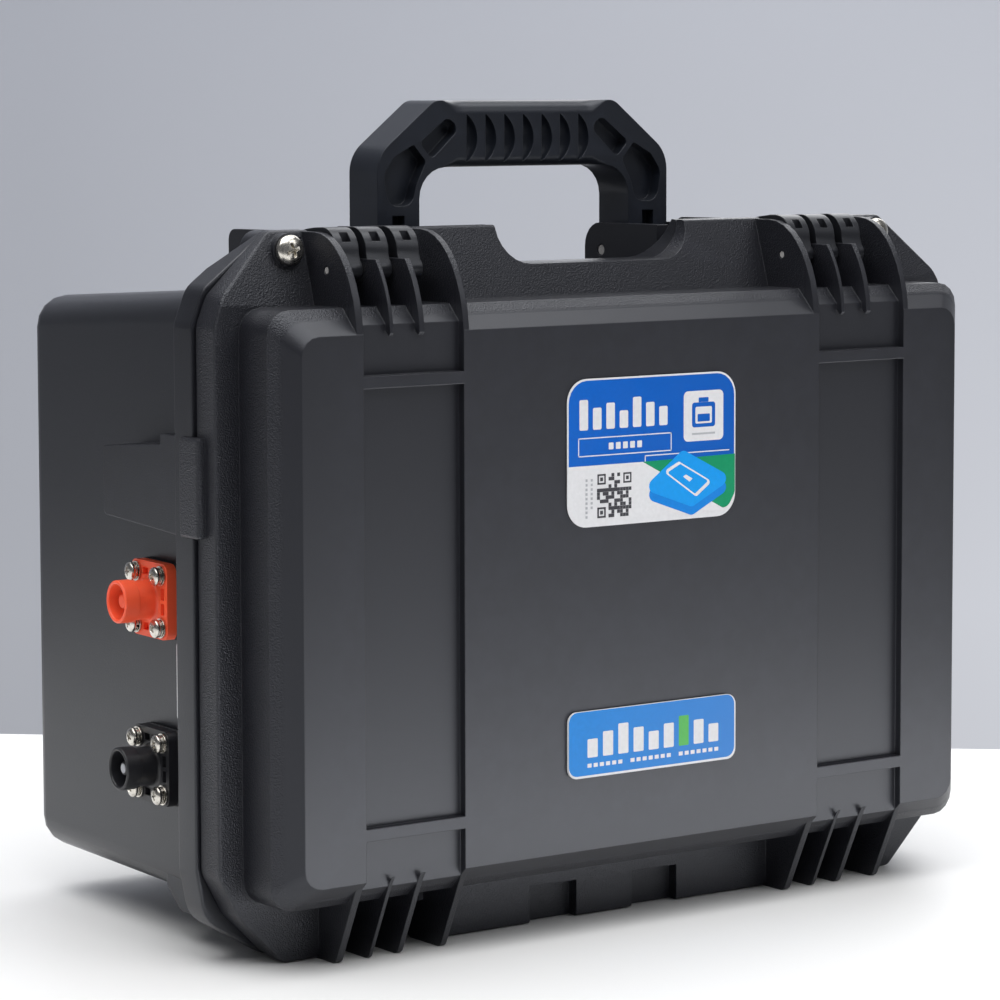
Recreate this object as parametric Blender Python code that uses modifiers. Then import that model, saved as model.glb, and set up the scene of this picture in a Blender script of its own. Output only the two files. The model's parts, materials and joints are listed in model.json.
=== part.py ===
"""Battery pack: a 12 V lithium battery in a hard carrying case that stands on its hinge side.

Lengths are in metres.  Shapes are drawn in the case's own frame: X runs to the right from the
middle of the case, Y runs back from the lid's face, and Z runs up from the floor.  The empty
"battery_pack" then shifts everything so that the origin lies under the base's flange.
"""

import math

import bmesh
import bpy
from mathutils import Matrix, Vector

# ---------------------------------------------------------------- driving dimensions
CASE_HEIGHT = 0.3295
# A flange's outline: its side, and (x, z) of the corners down its lower and up its upper slants.
LID_FLANGE = {
    "side": 0.2145,
    "toe": (0.1807, 0.0004),
    "heel": (0.2040, 0.0235),
    "shoulder": (0.2095, 0.3015),
    "crest": 0.1800,
}
BASE_FLANGE = {
    "side": 0.2163,
    "toe": (0.1773, 0.0),
    "heel": (0.2120, 0.0205),
    "shoulder": (0.2100, 0.3045),
    "crest": 0.1768,
}
FLANGE_CHAMFER = 0.0012
FLANGE_FRONT = 0.0345
SEAM = 0.0510
BASE_FLANGE_BACK = 0.0670
CASE_DEPTH = 0.2445
SEAM_HALF_GAP = 0.00015
GAP = 0.0003
ORIGIN_DEPTH = 0.0630

FACE_HALF_WIDTH = 0.1911
FACE_LOW = 0.0401
FACE_HIGH = 0.2847
PLATEAU_HALF_WIDTH = 0.2019
PLATEAU_LOW = 0.0293
PLATEAU_HIGH = 0.2962
PLATEAU_RADIUS = 0.0115
FACE_RADIUS = 0.0090
FACE_BEVEL_DEPTH = 0.0115
LID_WALL = 0.0040
CHANNEL_DEPTH = 0.0040
CHANNEL_BARS = ((0.0585, 0.0641), (0.2607, 0.2663))
SLOPE_START = 0.2965
SLOPE_ANGLE = math.radians(17.5)

BASE_HALF_WIDTH = 0.2006
BASE_LOW = 0.0215
BASE_HIGH = 0.3041
BASE_TOP_DRAFT = 0.0600
BASE_FLOOR_DRAFT = 0.0030
BASE_SIDE_DRAFT = 0.0466
BASE_WALL = 0.0036
BASE_BACK_RADIUS = 0.0100

# Each bay holds four ribs, listed by their sides, measured from the bay's left edge.
BAY_LEFT_EDGES = {"left": -0.1623, "right": 0.1002}
RIBS = ((0.0, 0.0035), (0.0177, 0.0195), (0.0334, 0.0361), (0.0573, 0.0603))
BAY_FLOOR = 0.3085
RIB_TOP = 0.3290
INNER_RIB_TOP = 0.3170
BASE_INNER_RIB_TOP = 0.3125
RIB_ARC_CENTRE = (0.0340, 0.2800)

HINGE_AXIS = (SEAM, 0.0060)
HINGE_PIN_RADIUS = 0.0020
HINGE_KNUCKLE_RADIUS = 0.0052
HINGE_RELIEF_ANGLE = math.radians(52)
HINGE_BAY_TOP = 0.0195

LATCH_AXIS = (0.0245, 0.3122)
LATCH_PIN_RADIUS = 0.0016
LATCH_BARREL_RADIUS = 0.0046
LATCH_BARREL_LENGTH = 0.0125
LATCH_FINGER_WIDTH = 0.0120
LATCH_TOP = 0.3310
LATCH_THICKNESS = 0.0040
LATCH_ARCH = (0.0340, 0.3120)
LATCH_REACH = 0.0400

HANDLE_AXIS = (0.1090, 0.3130)
HANDLE_PIN_RADIUS = 0.0025
HANDLE_THICKNESS = 0.0240
HANDLE_TOP = 0.3870
HANDLE_HALF_WIDTH = 0.0863
HANDLE_LEG_INSIDE = 0.0625
HANDLE_GRIP_UNDERSIDE = 0.3553
EAR_SPANS = ((0.0545, 0.0615), (0.0872, 0.0932))
NOTCH_HALF_WIDTH = 0.0560
NOTCH_FLOOR = 0.3112

BOLT_X = 0.1727
BOLT_Z = 0.3210
BOLT_RADIUS = 0.0030
BOLT_SEAT = 0.0398

CONNECTOR_Y = 0.1090
CONNECTOR_HEIGHTS = {"positive": 0.1595, "negative": 0.0823}
CONNECTOR_FLANGE = 0.0350
CONNECTOR_SCREW_SPACING = 0.0240
CONNECTOR_BARREL_RADIUS = 0.0099

CELL_SIZE = (0.0367, 0.1303, 0.1945)
CELL_PITCH = 0.0372
CELL_STACK_CENTRE = (0.0100, 0.1590)
CELL_FLOOR = 0.0352
TERMINAL_SPACING = 0.0870
TERMINAL_HEIGHT = 0.0060
MODULE_HEIGHTS = (0.1040, 0.1870)

PART_NAME = "battery_pack"


# ---------------------------------------------------------------- scene helpers
def clear_scene():
    for existing in list(bpy.data.objects):
        bpy.data.objects.remove(existing, do_unlink=True)


def new_collection(name, parent=None):
    group = bpy.data.collections.new(name)
    (parent or bpy.context.scene.collection).children.link(group)
    return group


def make_material(name, colour, roughness, metallic=0.0):
    material = bpy.data.materials.new(name)
    material.use_nodes = True
    shader = material.node_tree.nodes["Principled BSDF"]
    shader.inputs["Base Color"].default_value = (*colour, 1.0)
    shader.inputs["Roughness"].default_value = roughness
    shader.inputs["Metallic"].default_value = metallic
    return material


def add_mesh_object(name, bm):
    bmesh.ops.recalc_face_normals(bm, faces=bm.faces)
    mesh = bpy.data.meshes.new(name)
    bm.to_mesh(mesh)
    bm.free()
    made = bpy.data.objects.new(name, mesh)
    parts.objects.link(made)
    return made


def smooth(made, degrees=35):
    made.data.shade_smooth()
    made.data.set_sharp_from_angle(angle=math.radians(degrees))
    return made


def to_mesh_object(curve_object, name, matrix):
    """The curve as a welded mesh object."""
    mesh = bpy.data.meshes.new_from_object(curve_object)
    bpy.data.objects.remove(curve_object, do_unlink=True)
    bm = bmesh.new()
    bm.from_mesh(mesh)
    bpy.data.meshes.remove(mesh)
    bmesh.ops.remove_doubles(bm, verts=bm.verts, dist=1e-6)
    bm.transform(matrix)
    return add_mesh_object(name, bm)


# ---------------------------------------------------------------- shapes
AXIS_MATRICES = {
    "X": Matrix(((0, 0, 1, 0), (1, 0, 0, 0), (0, 1, 0, 0), (0, 0, 0, 1))),
    "Y": Matrix(((1, 0, 0, 0), (0, 0, -1, 0), (0, 1, 0, 0), (0, 0, 0, 1))),
    "Z": Matrix.Identity(4),
}


def fillet(corners, segments=4):
    """A closed outline through (a, b, radius) corners, each corner turned into an arc."""
    outline = []
    for index, (a, b, radius) in enumerate(corners):
        here = Vector((a, b))
        if radius == 0:
            outline.append(here)
            continue
        before = (Vector(corners[index - 1][:2]) - here).normalized()
        after = (Vector(corners[(index + 1) % len(corners)][:2]) - here).normalized()
        half_angle = before.angle(after) / 2
        centre = here + (before + after).normalized() * radius / math.sin(half_angle)
        start = here + before * radius / math.tan(half_angle) - centre
        turn = before.angle_signed(after)
        sweep = math.copysign(math.pi - 2 * half_angle, turn)
        for step in range(segments + 1):
            rotated = Matrix.Rotation(sweep * step / segments, 2) @ start
            outline.append(centre + rotated)
    return outline


def plain(*points):
    return [(a, b, 0) for a, b in points]


def rounded_rectangle(low, high, radius, segments=4):
    corners = ((low[0], low[1]), (high[0], low[1]), (high[0], high[1]), (low[0], high[1]))
    return fillet([(a, b, radius) for a, b in corners], segments)


def prism(name, outline, axis, low, high):
    """An outline swept along an axis.  It is (y, z) along X, (x, z) along Y and (x, y) along Z."""
    data = bpy.data.curves.new(name, "CURVE")
    data.dimensions = "2D"
    data.fill_mode = "BOTH"
    data.extrude = (high - low) / 2
    spline = data.splines.new("POLY")
    spline.points.add(len(outline) - 1)
    for point, position in zip(spline.points, outline):
        point.co = (position[0], position[1], 0, 1)
    spline.use_cyclic_u = True
    curve_object = bpy.data.objects.new(name, data)
    parts.objects.link(curve_object)
    centre = Vector((0, 0, 0))
    centre["XYZ".index(axis)] = (low + high) / 2
    return to_mesh_object(curve_object, name, Matrix.Translation(centre) @ AXIS_MATRICES[axis])


def box(name, low, high, bevel=0.0):
    bm = bmesh.new()
    bmesh.ops.create_cube(bm, size=1.0)
    low, high = Vector(low), Vector(high)
    bmesh.ops.scale(bm, vec=high - low, verts=bm.verts)
    bmesh.ops.translate(bm, vec=(low + high) / 2, verts=bm.verts)
    if bevel:
        bmesh.ops.bevel(bm, geom=bm.edges, offset=bevel, segments=2, profile=0.5, affect="EDGES")
    return add_mesh_object(name, bm)


def rod(name, axis, centre, radius, low, high, segments=16):
    """A cylinder along an axis; centre is its (y, z), (x, z) or (x, y)."""
    bm = bmesh.new()
    bmesh.ops.create_cone(
        bm, cap_ends=True, segments=segments, radius1=radius, radius2=radius, depth=high - low
    )
    bm.transform(AXIS_MATRICES[axis])
    offset = list(centre)
    offset.insert("XYZ".index(axis), (low + high) / 2)
    bmesh.ops.translate(bm, vec=offset, verts=bm.verts)
    return smooth(add_mesh_object(name, bm))


def loft(name, sections, segments=4):
    """Rounded rectangles joined along Y.  A section is (y, half width, low, high, radius)."""
    bm = bmesh.new()
    loops = []
    for depth, half_width, low, high, radius in sections:
        outline = rounded_rectangle((-half_width, low), (half_width, high), radius, segments)
        ring = [bm.verts.new((x, depth, z)) for x, z in outline]
        loops.append([bm.edges.new((ring[i - 1], ring[i])) for i in range(len(ring))])
    for near, far in zip(loops, loops[1:]):
        bmesh.ops.bridge_loops(bm, edges=near + far)
    bmesh.ops.edgeloop_fill(bm, edges=loops[0])
    bmesh.ops.edgeloop_fill(bm, edges=loops[-1])
    return smooth(add_mesh_object(name, bm))


def slice_off(made, point, normal):
    """Remove what lies on the side of a plane that its normal points to."""
    bm = bmesh.new()
    bm.from_mesh(made.data)
    geometry = bm.verts[:] + bm.edges[:] + bm.faces[:]
    cut = bmesh.ops.bisect_plane(bm, geom=geometry, plane_co=point, plane_no=normal, clear_outer=True)
    edges = [item for item in cut["geom_cut"] if isinstance(item, bmesh.types.BMEdge)]
    bmesh.ops.holes_fill(bm, edges=edges)
    bmesh.ops.recalc_face_normals(bm, faces=bm.faces)
    bm.to_mesh(made.data)
    bm.free()
    return made


def chamfer(made, width):
    """Rounds a prism's edges where its faces meet at more than 40 degrees."""
    bm = bmesh.new()
    bm.from_mesh(made.data)
    sharp = [edge for edge in bm.edges if edge.calc_face_angle(0) > math.radians(40)]
    bmesh.ops.bevel(bm, geom=sharp, offset=width, segments=2, profile=0.5, affect="EDGES")
    for vertex in bm.verts:
        vertex.co = [round(value, 7) for value in vertex.co]
    bm.to_mesh(made.data)
    bm.free()


def turned(name, profile, matrix, steps=24):
    """A profile of (radius, height) points, top to bottom, turned about its own Z."""
    mesh = bpy.data.meshes.new(name)
    edges = [(i, i + 1) for i in range(len(profile) - 1)]
    mesh.from_pydata([(radius, 0, height) for radius, height in profile], edges, [])
    made = bpy.data.objects.new(name, mesh)
    made.matrix_world = matrix
    parts.objects.link(made)
    screw = made.modifiers.new("Turn", "SCREW")
    screw.steps = steps
    screw.render_steps = steps
    screw.use_merge_vertices = True
    screw.merge_threshold = 0.00001
    return made


def tube(name, route, radius, resolution=2, samples=36):
    """A round tube along a smooth curve through the route's points."""
    data = bpy.data.curves.new(name, "CURVE")
    data.dimensions = "3D"
    data.bevel_depth = radius
    data.bevel_resolution = resolution
    data.use_fill_caps = True
    spline = data.splines.new("POLY")
    points = smooth_route([Vector(p) for p in route], samples)
    spline.points.add(len(points) - 1)
    for point, position in zip(spline.points, points):
        point.co = (*position, 1)
    curve_object = bpy.data.objects.new(name, data)
    parts.objects.link(curve_object)
    return curve_object


def smooth_route(route, samples):
    """Points at even parameters along a Catmull-Rom curve through the route."""
    padded = [2 * route[0] - route[1], *route, 2 * route[-1] - route[-2]]
    spans = len(route) - 1
    points = []
    for step in range(samples + 1):
        position = step * spans / samples
        span = min(int(position), spans - 1)
        t = position - span
        a, b, c, d = padded[span : span + 4]
        points.append(
            (2 * b + (c - a) * t + (2 * a - 5 * b + 4 * c - d) * t**2 + (3 * b - a - 3 * c + d) * t**3) / 2
        )
    return points


def combine(target, operation, pieces):
    """Join pieces to the target, or cut them from it, with one exact Boolean."""
    group = new_collection(f"{target.name}_{operation.lower()}_{len(target.modifiers)}", cutters)
    for piece in pieces:
        for owner in list(piece.users_collection):
            owner.objects.unlink(piece)
        group.objects.link(piece)
        piece.parent = target
        piece.matrix_parent_inverse = target.matrix_basis.inverted()
        piece.hide_render = True
        piece.display_type = "WIRE"
    boolean = target.modifiers.new(operation.title(), "BOOLEAN")
    boolean.operation = operation
    boolean.operand_type = "COLLECTION"
    boolean.collection = group
    boolean.solver = "EXACT"


def merge_flat_faces(target):
    """Leave one face where joins and cuts have divided a flat one."""
    decimate = target.modifiers.new("Merge flat faces", "DECIMATE")
    decimate.decimate_type = "DISSOLVE"
    decimate.angle_limit = math.radians(0.5)


def join(target, pieces):
    combine(target, "UNION", pieces)


def cut(target, pieces):
    combine(target, "DIFFERENCE", pieces)


def finish(made, material, parent):
    made.data.materials.clear()
    made.data.materials.append(materials[material])
    made.parent = parent
    made.matrix_parent_inverse = parent.matrix_world.inverted()
    return made


def axis_empty(name, location, parent=None):
    empty = bpy.data.objects.new(name, None)
    empty.empty_display_size = 0.02
    empty.location = location
    parts.objects.link(empty)
    if parent:
        empty.parent = parent
        empty.matrix_parent_inverse = parent.matrix_world.inverted()
    bpy.context.view_layer.update()
    return empty


# ---------------------------------------------------------------- outlines shared by lid and base
def flange_outline(flange):
    """A flange seen from the front: straight sides and corners cut at a slant."""
    right = [
        (*flange["toe"], 0.004),
        (*flange["heel"], 0.015),
        (flange["side"], 0.0430, 0.012),
        (flange["side"], 0.2885, 0.012),
        (*flange["shoulder"], 0.012),
        (flange["crest"], CASE_HEIGHT, 0.005),
    ]
    left = [(-x, z, radius) for x, z, radius in reversed(right)]
    return fillet(right + left, segments=3)


def rib_front(top, count=9):
    """The ribs' curved front edge, a quarter ellipse from the lid's face up to the given height."""
    centre_y, centre_z = RIB_ARC_CENTRE
    rise = RIB_TOP - centre_z
    first = math.asin((FACE_HIGH - centre_z) / rise)
    last = math.asin(min(1.0, (top - centre_z) / rise))
    angles = [first + (last - first) * step / count for step in range(count + 1)]
    return [(centre_y * (1 - math.cos(a)), centre_z + rise * math.sin(a)) for a in angles]


def bay_ribs(left_edge):
    return [(left_edge + low, left_edge + high) for low, high in RIBS]


def notch_cutter(name):
    outline = fillet(
        [
            (-NOTCH_HALF_WIDTH, 0.3450, 0),
            (-NOTCH_HALF_WIDTH, NOTCH_FLOOR, 0.0170),
            (NOTCH_HALF_WIDTH, NOTCH_FLOOR, 0.0170),
            (NOTCH_HALF_WIDTH, 0.3450, 0),
        ],
        segments=6,
    )
    return prism(name, outline, "Y", 0.0300, BASE_FLANGE_BACK + 0.0010)


# ---------------------------------------------------------------- lid
def lid_flange():
    flange = prism("lid_flange", flange_outline(LID_FLANGE), "Y", FLANGE_FRONT, SEAM - SEAM_HALF_GAP)
    slope = (0, -math.cos(SLOPE_ANGLE), math.sin(SLOPE_ANGLE))
    slice_off(flange, (0, FLANGE_FRONT, SLOPE_START), slope)
    chamfer(flange, FLANGE_CHAMFER)
    relief = (0, math.cos(HINGE_RELIEF_ANGLE), -math.sin(HINGE_RELIEF_ANGLE))
    return slice_off(flange, (0, *HINGE_AXIS), relief)


def lid_latch_ribs(left_edge):
    """Outer ribs reach the case's top; the inner pair stops just above the latch pin."""
    pieces = []
    back = SEAM - SEAM_HALF_GAP
    for index, (low, high) in enumerate(bay_ribs(left_edge)):
        top = RIB_TOP if index in (0, 3) else INNER_RIB_TOP
        outline = rib_front(top) + [(back, top), (back, 0.2937), (0.0125, 0.2937), (0.0015, 0.2835)]
        pieces.append(prism("lid_latch_rib", outline, "X", low, high))
    return pieces


def lid_hinge_ribs(left_edge):
    """Slanted ribs that carry the lid's knuckles and its share of the weight."""
    pieces = []
    outline = fillet(
        plain((0.0010, 0.0410), (0.0035, 0.0370))
        + [(0.0208, 0, 0.0040)]
        + plain((0.0450, 0), (0.0500, 0.0030), (0.0500, 0.0312), (0.0125, 0.0312))
    )
    for low, high in bay_ribs(left_edge):
        pieces.append(prism("lid_hinge_rib", outline, "X", low, high))
        pieces.append(rod("lid_knuckle", "X", HINGE_AXIS, HINGE_KNUCKLE_RADIUS, low, high, 20))
    return pieces


def seam_guards():
    """Upright bars on the lid's sides that reach back over the seam beside the base's lugs."""
    pieces = []
    for side in (-1, 1):
        near, far = sorted((side * (LID_FLANGE["side"] - 0.0025), side * 0.2185))
        bar = box("seam_guard", (near, 0.0430, 0.1938), (far, 0.0600, 0.2390), 0.0018)
        near, far = sorted((side * 0.2000, side * (BASE_FLANGE["side"] + GAP)))
        cut(bar, [box("seam_guard_gap", (near, SEAM - SEAM_HALF_GAP, 0.1900), (far, 0.0620, 0.2420))])
        pieces.append(bar)
    return pieces


def build_lid():
    lid = loft(
        "lid_shell",
        (
            (0, FACE_HALF_WIDTH, FACE_LOW, FACE_HIGH, FACE_RADIUS),
            (FACE_BEVEL_DEPTH, PLATEAU_HALF_WIDTH, PLATEAU_LOW, PLATEAU_HIGH, PLATEAU_RADIUS),
            (FLANGE_FRONT + 0.0060, PLATEAU_HALF_WIDTH, PLATEAU_LOW, PLATEAU_HIGH, PLATEAU_RADIUS),
        ),
    )
    join(lid, [lid_flange()])
    cavity = loft(
        "lid_cavity",
        (
            (LID_WALL, 0.1875, 0.0438, 0.2810, 0.0060),
            (0.0150, 0.1975, 0.0335, 0.2915, 0.0080),
            (SEAM + 0.0010, 0.1978, 0.0332, 0.2918, 0.0080),
        ),
    )
    cut(lid, [cavity])

    additions, cuts = seam_guards(), [notch_cutter("lid_notch")]
    for left_edge in BAY_LEFT_EDGES.values():
        ribs = bay_ribs(left_edge)
        inner = (ribs[0][1], ribs[3][0])
        backing_low = (inner[0] - 0.0030, 0.0035, 0.0385)
        backing_high = (inner[1] + 0.0030, CHANNEL_DEPTH + 0.0032, 0.2862)
        additions.append(box("channel_backing", backing_low, backing_high))
        heights = [0.0350, *CHANNEL_BARS[0], *CHANNEL_BARS[1], 0.2950]
        for low, high in zip(heights[::2], heights[1::2]):
            cuts.append(box("channel", (inner[0], -0.0010, low), (inner[1], CHANNEL_DEPTH, high)))
    join(lid, additions)
    cut(lid, cuts)

    bays, ribs = [], []
    for left_edge in BAY_LEFT_EDGES.values():
        inner = (bay_ribs(left_edge)[0][1], bay_ribs(left_edge)[3][0])
        bays.append(box("latch_bay", (inner[0], 0.0300, BAY_FLOOR), (inner[1], 0.0520, 0.3400)))
        bays.append(box("hinge_bay", (inner[0], 0.0330, -0.0010), (inner[1], 0.0520, HINGE_BAY_TOP)))
        ribs += lid_latch_ribs(left_edge) + lid_hinge_ribs(left_edge)
    for side in (-1, 1):
        low, high = sorted((side * 0.0165, side * 0.0440))
        bays.append(box("foot_pocket", (low, 0.0300, -0.0010), (high, 0.0405, 0.0178)))
        ribs.append(rod("bolt_boss", "Y", (side * BOLT_X, BOLT_Z), 0.0075, BOLT_SEAT, 0.0460, 20))
    cut(lid, bays)
    join(lid, ribs)

    bores = [gasket_ring("gasket_groove", 0.0023, 0.0480, SEAM + 0.0010)]
    for left_edge in BAY_LEFT_EDGES.values():
        ends = (left_edge - 0.0005, left_edge + RIBS[3][1] + 0.0005)
        bores.append(rod("hinge_bore", "X", HINGE_AXIS, HINGE_PIN_RADIUS + GAP, *ends))
        latch_end = left_edge + RIBS[2][1] + 0.0005
        bores.append(
            rod("latch_bore", "X", LATCH_AXIS, LATCH_PIN_RADIUS + GAP, ends[0], latch_end)
        )
    for side in (-1, 1):
        hole = (side * BOLT_X, BOLT_Z)
        bores.append(rod("bolt_hole", "Y", hole, BOLT_RADIUS + 0.0005, 0.0300, 0.0520))
    cut(lid, bores)
    merge_flat_faces(lid)
    return lid


def gasket_ring(name, half_thickness, front, back):
    """A rounded rectangular ring around the mouth of the case."""
    centre_x, low, high = 0.2015, 0.0243, 0.3035
    outer = rounded_rectangle(
        (-centre_x - half_thickness, low - half_thickness),
        (centre_x + half_thickness, high + half_thickness),
        0.0180 + half_thickness,
        5,
    )
    inner = rounded_rectangle(
        (-centre_x + half_thickness, low + half_thickness),
        (centre_x - half_thickness, high - half_thickness),
        0.0180 - half_thickness,
        5,
    )
    ring = prism(name, outer, "Y", front, back)
    cut(ring, [prism(name + "_inside", inner, "Y", front - 0.0010, back + 0.0010)])
    return ring


# ---------------------------------------------------------------- base
def base_half_width(depth):
    return BASE_HALF_WIDTH - BASE_SIDE_DRAFT * (depth - SEAM)


def base_sections():
    """The drafted body, ending in a rounded back edge."""
    sections = []
    for depth in (SEAM + 0.0040, CASE_DEPTH - BASE_BACK_RADIUS):
        low = BASE_LOW + BASE_FLOOR_DRAFT * (depth - SEAM)
        high = BASE_HIGH - BASE_TOP_DRAFT * (depth - SEAM)
        sections.append((depth, base_half_width(depth), low, high, 0.0150))
    depth, half_width, low, high, radius = sections[-1]
    for step in range(1, 5):
        angle = math.radians(90) * step / 4
        inset = BASE_BACK_RADIUS * (1 - math.cos(angle))
        further = depth + BASE_BACK_RADIUS * math.sin(angle)
        sections.append((further, half_width - inset, low + inset, high - inset, radius - inset / 2))
    return sections


def base_flange():
    outline = flange_outline(BASE_FLANGE)
    flange = prism("base_flange", outline, "Y", SEAM + SEAM_HALF_GAP, BASE_FLANGE_BACK)
    chamfer(flange, FLANGE_CHAMFER)
    slice_off(flange, (0, BASE_FLANGE_BACK, 0.3110), (0, 0.8286, 0.5599))
    relief = (0, -math.cos(HINGE_RELIEF_ANGLE), -math.sin(HINGE_RELIEF_ANGLE))
    return slice_off(flange, (0, *HINGE_AXIS), relief)


def base_latch_ribs(left_edge):
    """Two tall outer ribs, and a lower inner pair that the latch plate closes over."""
    pieces = []
    front = SEAM + SEAM_HALF_GAP
    tall = fillet(
        [
            (front, 0.3010, 0),
            (front, RIB_TOP, 0),
            (0.1070, 0.3284, 0.0050),
            (0.1070, 0.2985, 0),
        ],
        segments=4,
    )
    low_outline = fillet(
        plain((front, 0.3010), (front, BASE_INNER_RIB_TOP))
        + [(0.0900, BASE_INNER_RIB_TOP, 0.0030)]
        + plain((0.0900, 0.2998))
    )
    for index, (low, high) in enumerate(bay_ribs(left_edge)):
        outline = tall if index in (0, 3) else low_outline
        pieces.append(prism("base_latch_rib", outline, "X", low, high))
    return pieces


def base_hinge_parts(left_edge):
    """Ribs under the base, and the knuckle arms that reach forward between the lid's ribs."""
    pieces = []
    rib = plain((0.0605, 0), (0.0830, 0), (0.1070, 0.0225), (0.1070, 0.0238), (0.0605, 0.0235))
    for low, high in bay_ribs(left_edge):
        pieces.append(prism("base_hinge_rib", fillet(rib), "X", low, high))
    arm = plain((SEAM, 0.0010), (0.0720, 0.0010), (0.0720, 0.0240), (0.0600, 0.0238), (SEAM, 0.0110))
    ribs = bay_ribs(left_edge)
    for near, far in zip(ribs, ribs[1:]):
        low, high = near[1] + 0.0006, far[0] - 0.0006
        pieces.append(prism("knuckle_arm", fillet(arm), "X", low, high))
        pieces.append(rod("base_knuckle", "X", HINGE_AXIS, HINGE_KNUCKLE_RADIUS - 0.0002, low, high, 20))
    return pieces


def handle_ears():
    outline = fillet(
        [
            (0.0640, 0.3010, 0),
            (0.0640, 0.3265, 0),
            (HANDLE_AXIS[0] + 0.0132, 0.3265, 0.0120),
            (HANDLE_AXIS[0] + 0.0132, 0.2980, 0),
        ],
        segments=6,
    )
    pieces = []
    for side in (-1, 1):
        for inner, outer in EAR_SPANS:
            low, high = sorted((side * inner, side * outer))
            pieces.append(prism("handle_ear", outline, "X", low, high))
    return pieces


def side_lugs():
    outline = fillet(
        plain((0.0660, 0.1938))
        + [(0.1328, 0.1976, 0.0020), (0.1328, 0.2294, 0.0020)]
        + plain((0.0813, 0.2337))
        + [(0.0813, 0.2385, 0.0010)]
        + plain((0.0660, 0.2385)),
        segments=2,
    )
    pieces = []
    for side in (-1, 1):
        low, high = sorted((side * 0.1960, side * 0.2150))
        pieces.append(prism("side_lug", outline, "X", low, high))
    return pieces


def rear_pedestals():
    pieces = []
    for side in (-1, 1):
        low, high = sorted((side * 0.0520, side * 0.0860))
        pieces.append(box("pedestal", (low, 0.1770, 0.0060), (high, 0.2130, 0.0238)))
    return pieces


def corner_gussets():
    """Thin webs under the base's corners that brace its flange."""
    outline = fillet(
        plain((0.0665, 0.0330), (0.0665, 0.0150))
        + [(0.0985, 0.0150, 0.0060)]
        + plain((0.1108, 0.0252), (0.1108, 0.0330)),
        segments=3,
    )
    pieces = []
    for side in (-1, 1):
        low, high = sorted((side * 0.1935, side * 0.1965))
        pieces.append(prism("gusset", outline, "X", low, high))
    return pieces


def bolt_bosses():
    """Round bosses behind the flange that hold the lock bolts' inserts."""
    pieces = []
    for side in (-1, 1):
        place = (side * BOLT_X, BOLT_Z)
        pieces.append(rod("insert_boss", "Y", place, 0.0082, SEAM + 0.0020, 0.0672, 20))
    return pieces


def build_base():
    base = loft("base_shell", base_sections())
    join(base, [base_flange()])
    cavity = loft(
        "base_cavity",
        (
            (SEAM - 0.0010, BASE_HALF_WIDTH - BASE_WALL, 0.0273, 0.3005, 0.0130),
            (CASE_DEPTH - BASE_WALL, 0.1880, 0.0258, 0.2890, 0.0110),
        ),
    )
    bays = [cavity, notch_cutter("base_notch")]
    additions = handle_ears() + side_lugs() + rear_pedestals() + corner_gussets() + bolt_bosses()
    for left_edge in BAY_LEFT_EDGES.values():
        low, high = left_edge, left_edge + RIBS[3][1]
        inner = (left_edge + RIBS[0][1], left_edge + RIBS[3][0])
        bays.append(box("latch_bay", (inner[0], 0.0500, BAY_FLOOR), (inner[1], 0.0680, 0.3400)))
        hinge_low = (low - 0.0006, 0.0500, -0.0010)
        bays.append(box("hinge_bay", hinge_low, (high + 0.0006, 0.0680, HINGE_BAY_TOP)))
        additions += base_latch_ribs(left_edge) + base_hinge_parts(left_edge)
    cut(base, bays)
    join(base, additions)

    bores = [rod("handle_bore", "X", HANDLE_AXIS, HANDLE_PIN_RADIUS + GAP, -0.0960, -0.0500)]
    bores.append(rod("handle_bore", "X", HANDLE_AXIS, HANDLE_PIN_RADIUS + GAP, 0.0500, 0.0960))
    for left_edge in BAY_LEFT_EDGES.values():
        ends = (left_edge - 0.0003, left_edge + RIBS[3][1] + 0.0003)
        bores.append(rod("hinge_bore", "X", HINGE_AXIS, HINGE_PIN_RADIUS + GAP, *ends))
    for side in (-1, 1):
        hole = (side * BOLT_X, BOLT_Z)
        bores.append(rod("insert_hole", "Y", hole, 0.0058, 0.0500, 0.0700, 20))
    for height in CONNECTOR_HEIGHTS.values():
        bores.append(rod("connector_hole", "X", (CONNECTOR_Y, height), 0.0110, -0.2050, -0.1850, 24))
        for dy, dz in screw_offsets():
            place = (CONNECTOR_Y + dy, height + dz)
            bores.append(rod("screw_hole", "X", place, 0.0024, -0.2050, -0.1850, 8))
    cut(base, bores)
    merge_flat_faces(base)
    return base


# ---------------------------------------------------------------- latches and handle
def latch_arch(reach, rise):
    """Points of the latch's arched back, from its crest down to its rear lip."""
    points = []
    for step in range(10):
        angle = math.radians(90 - 78 * step / 9)
        points.append((LATCH_ARCH[0] + reach * math.cos(angle), LATCH_ARCH[1] + rise * math.sin(angle)))
    return points


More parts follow.
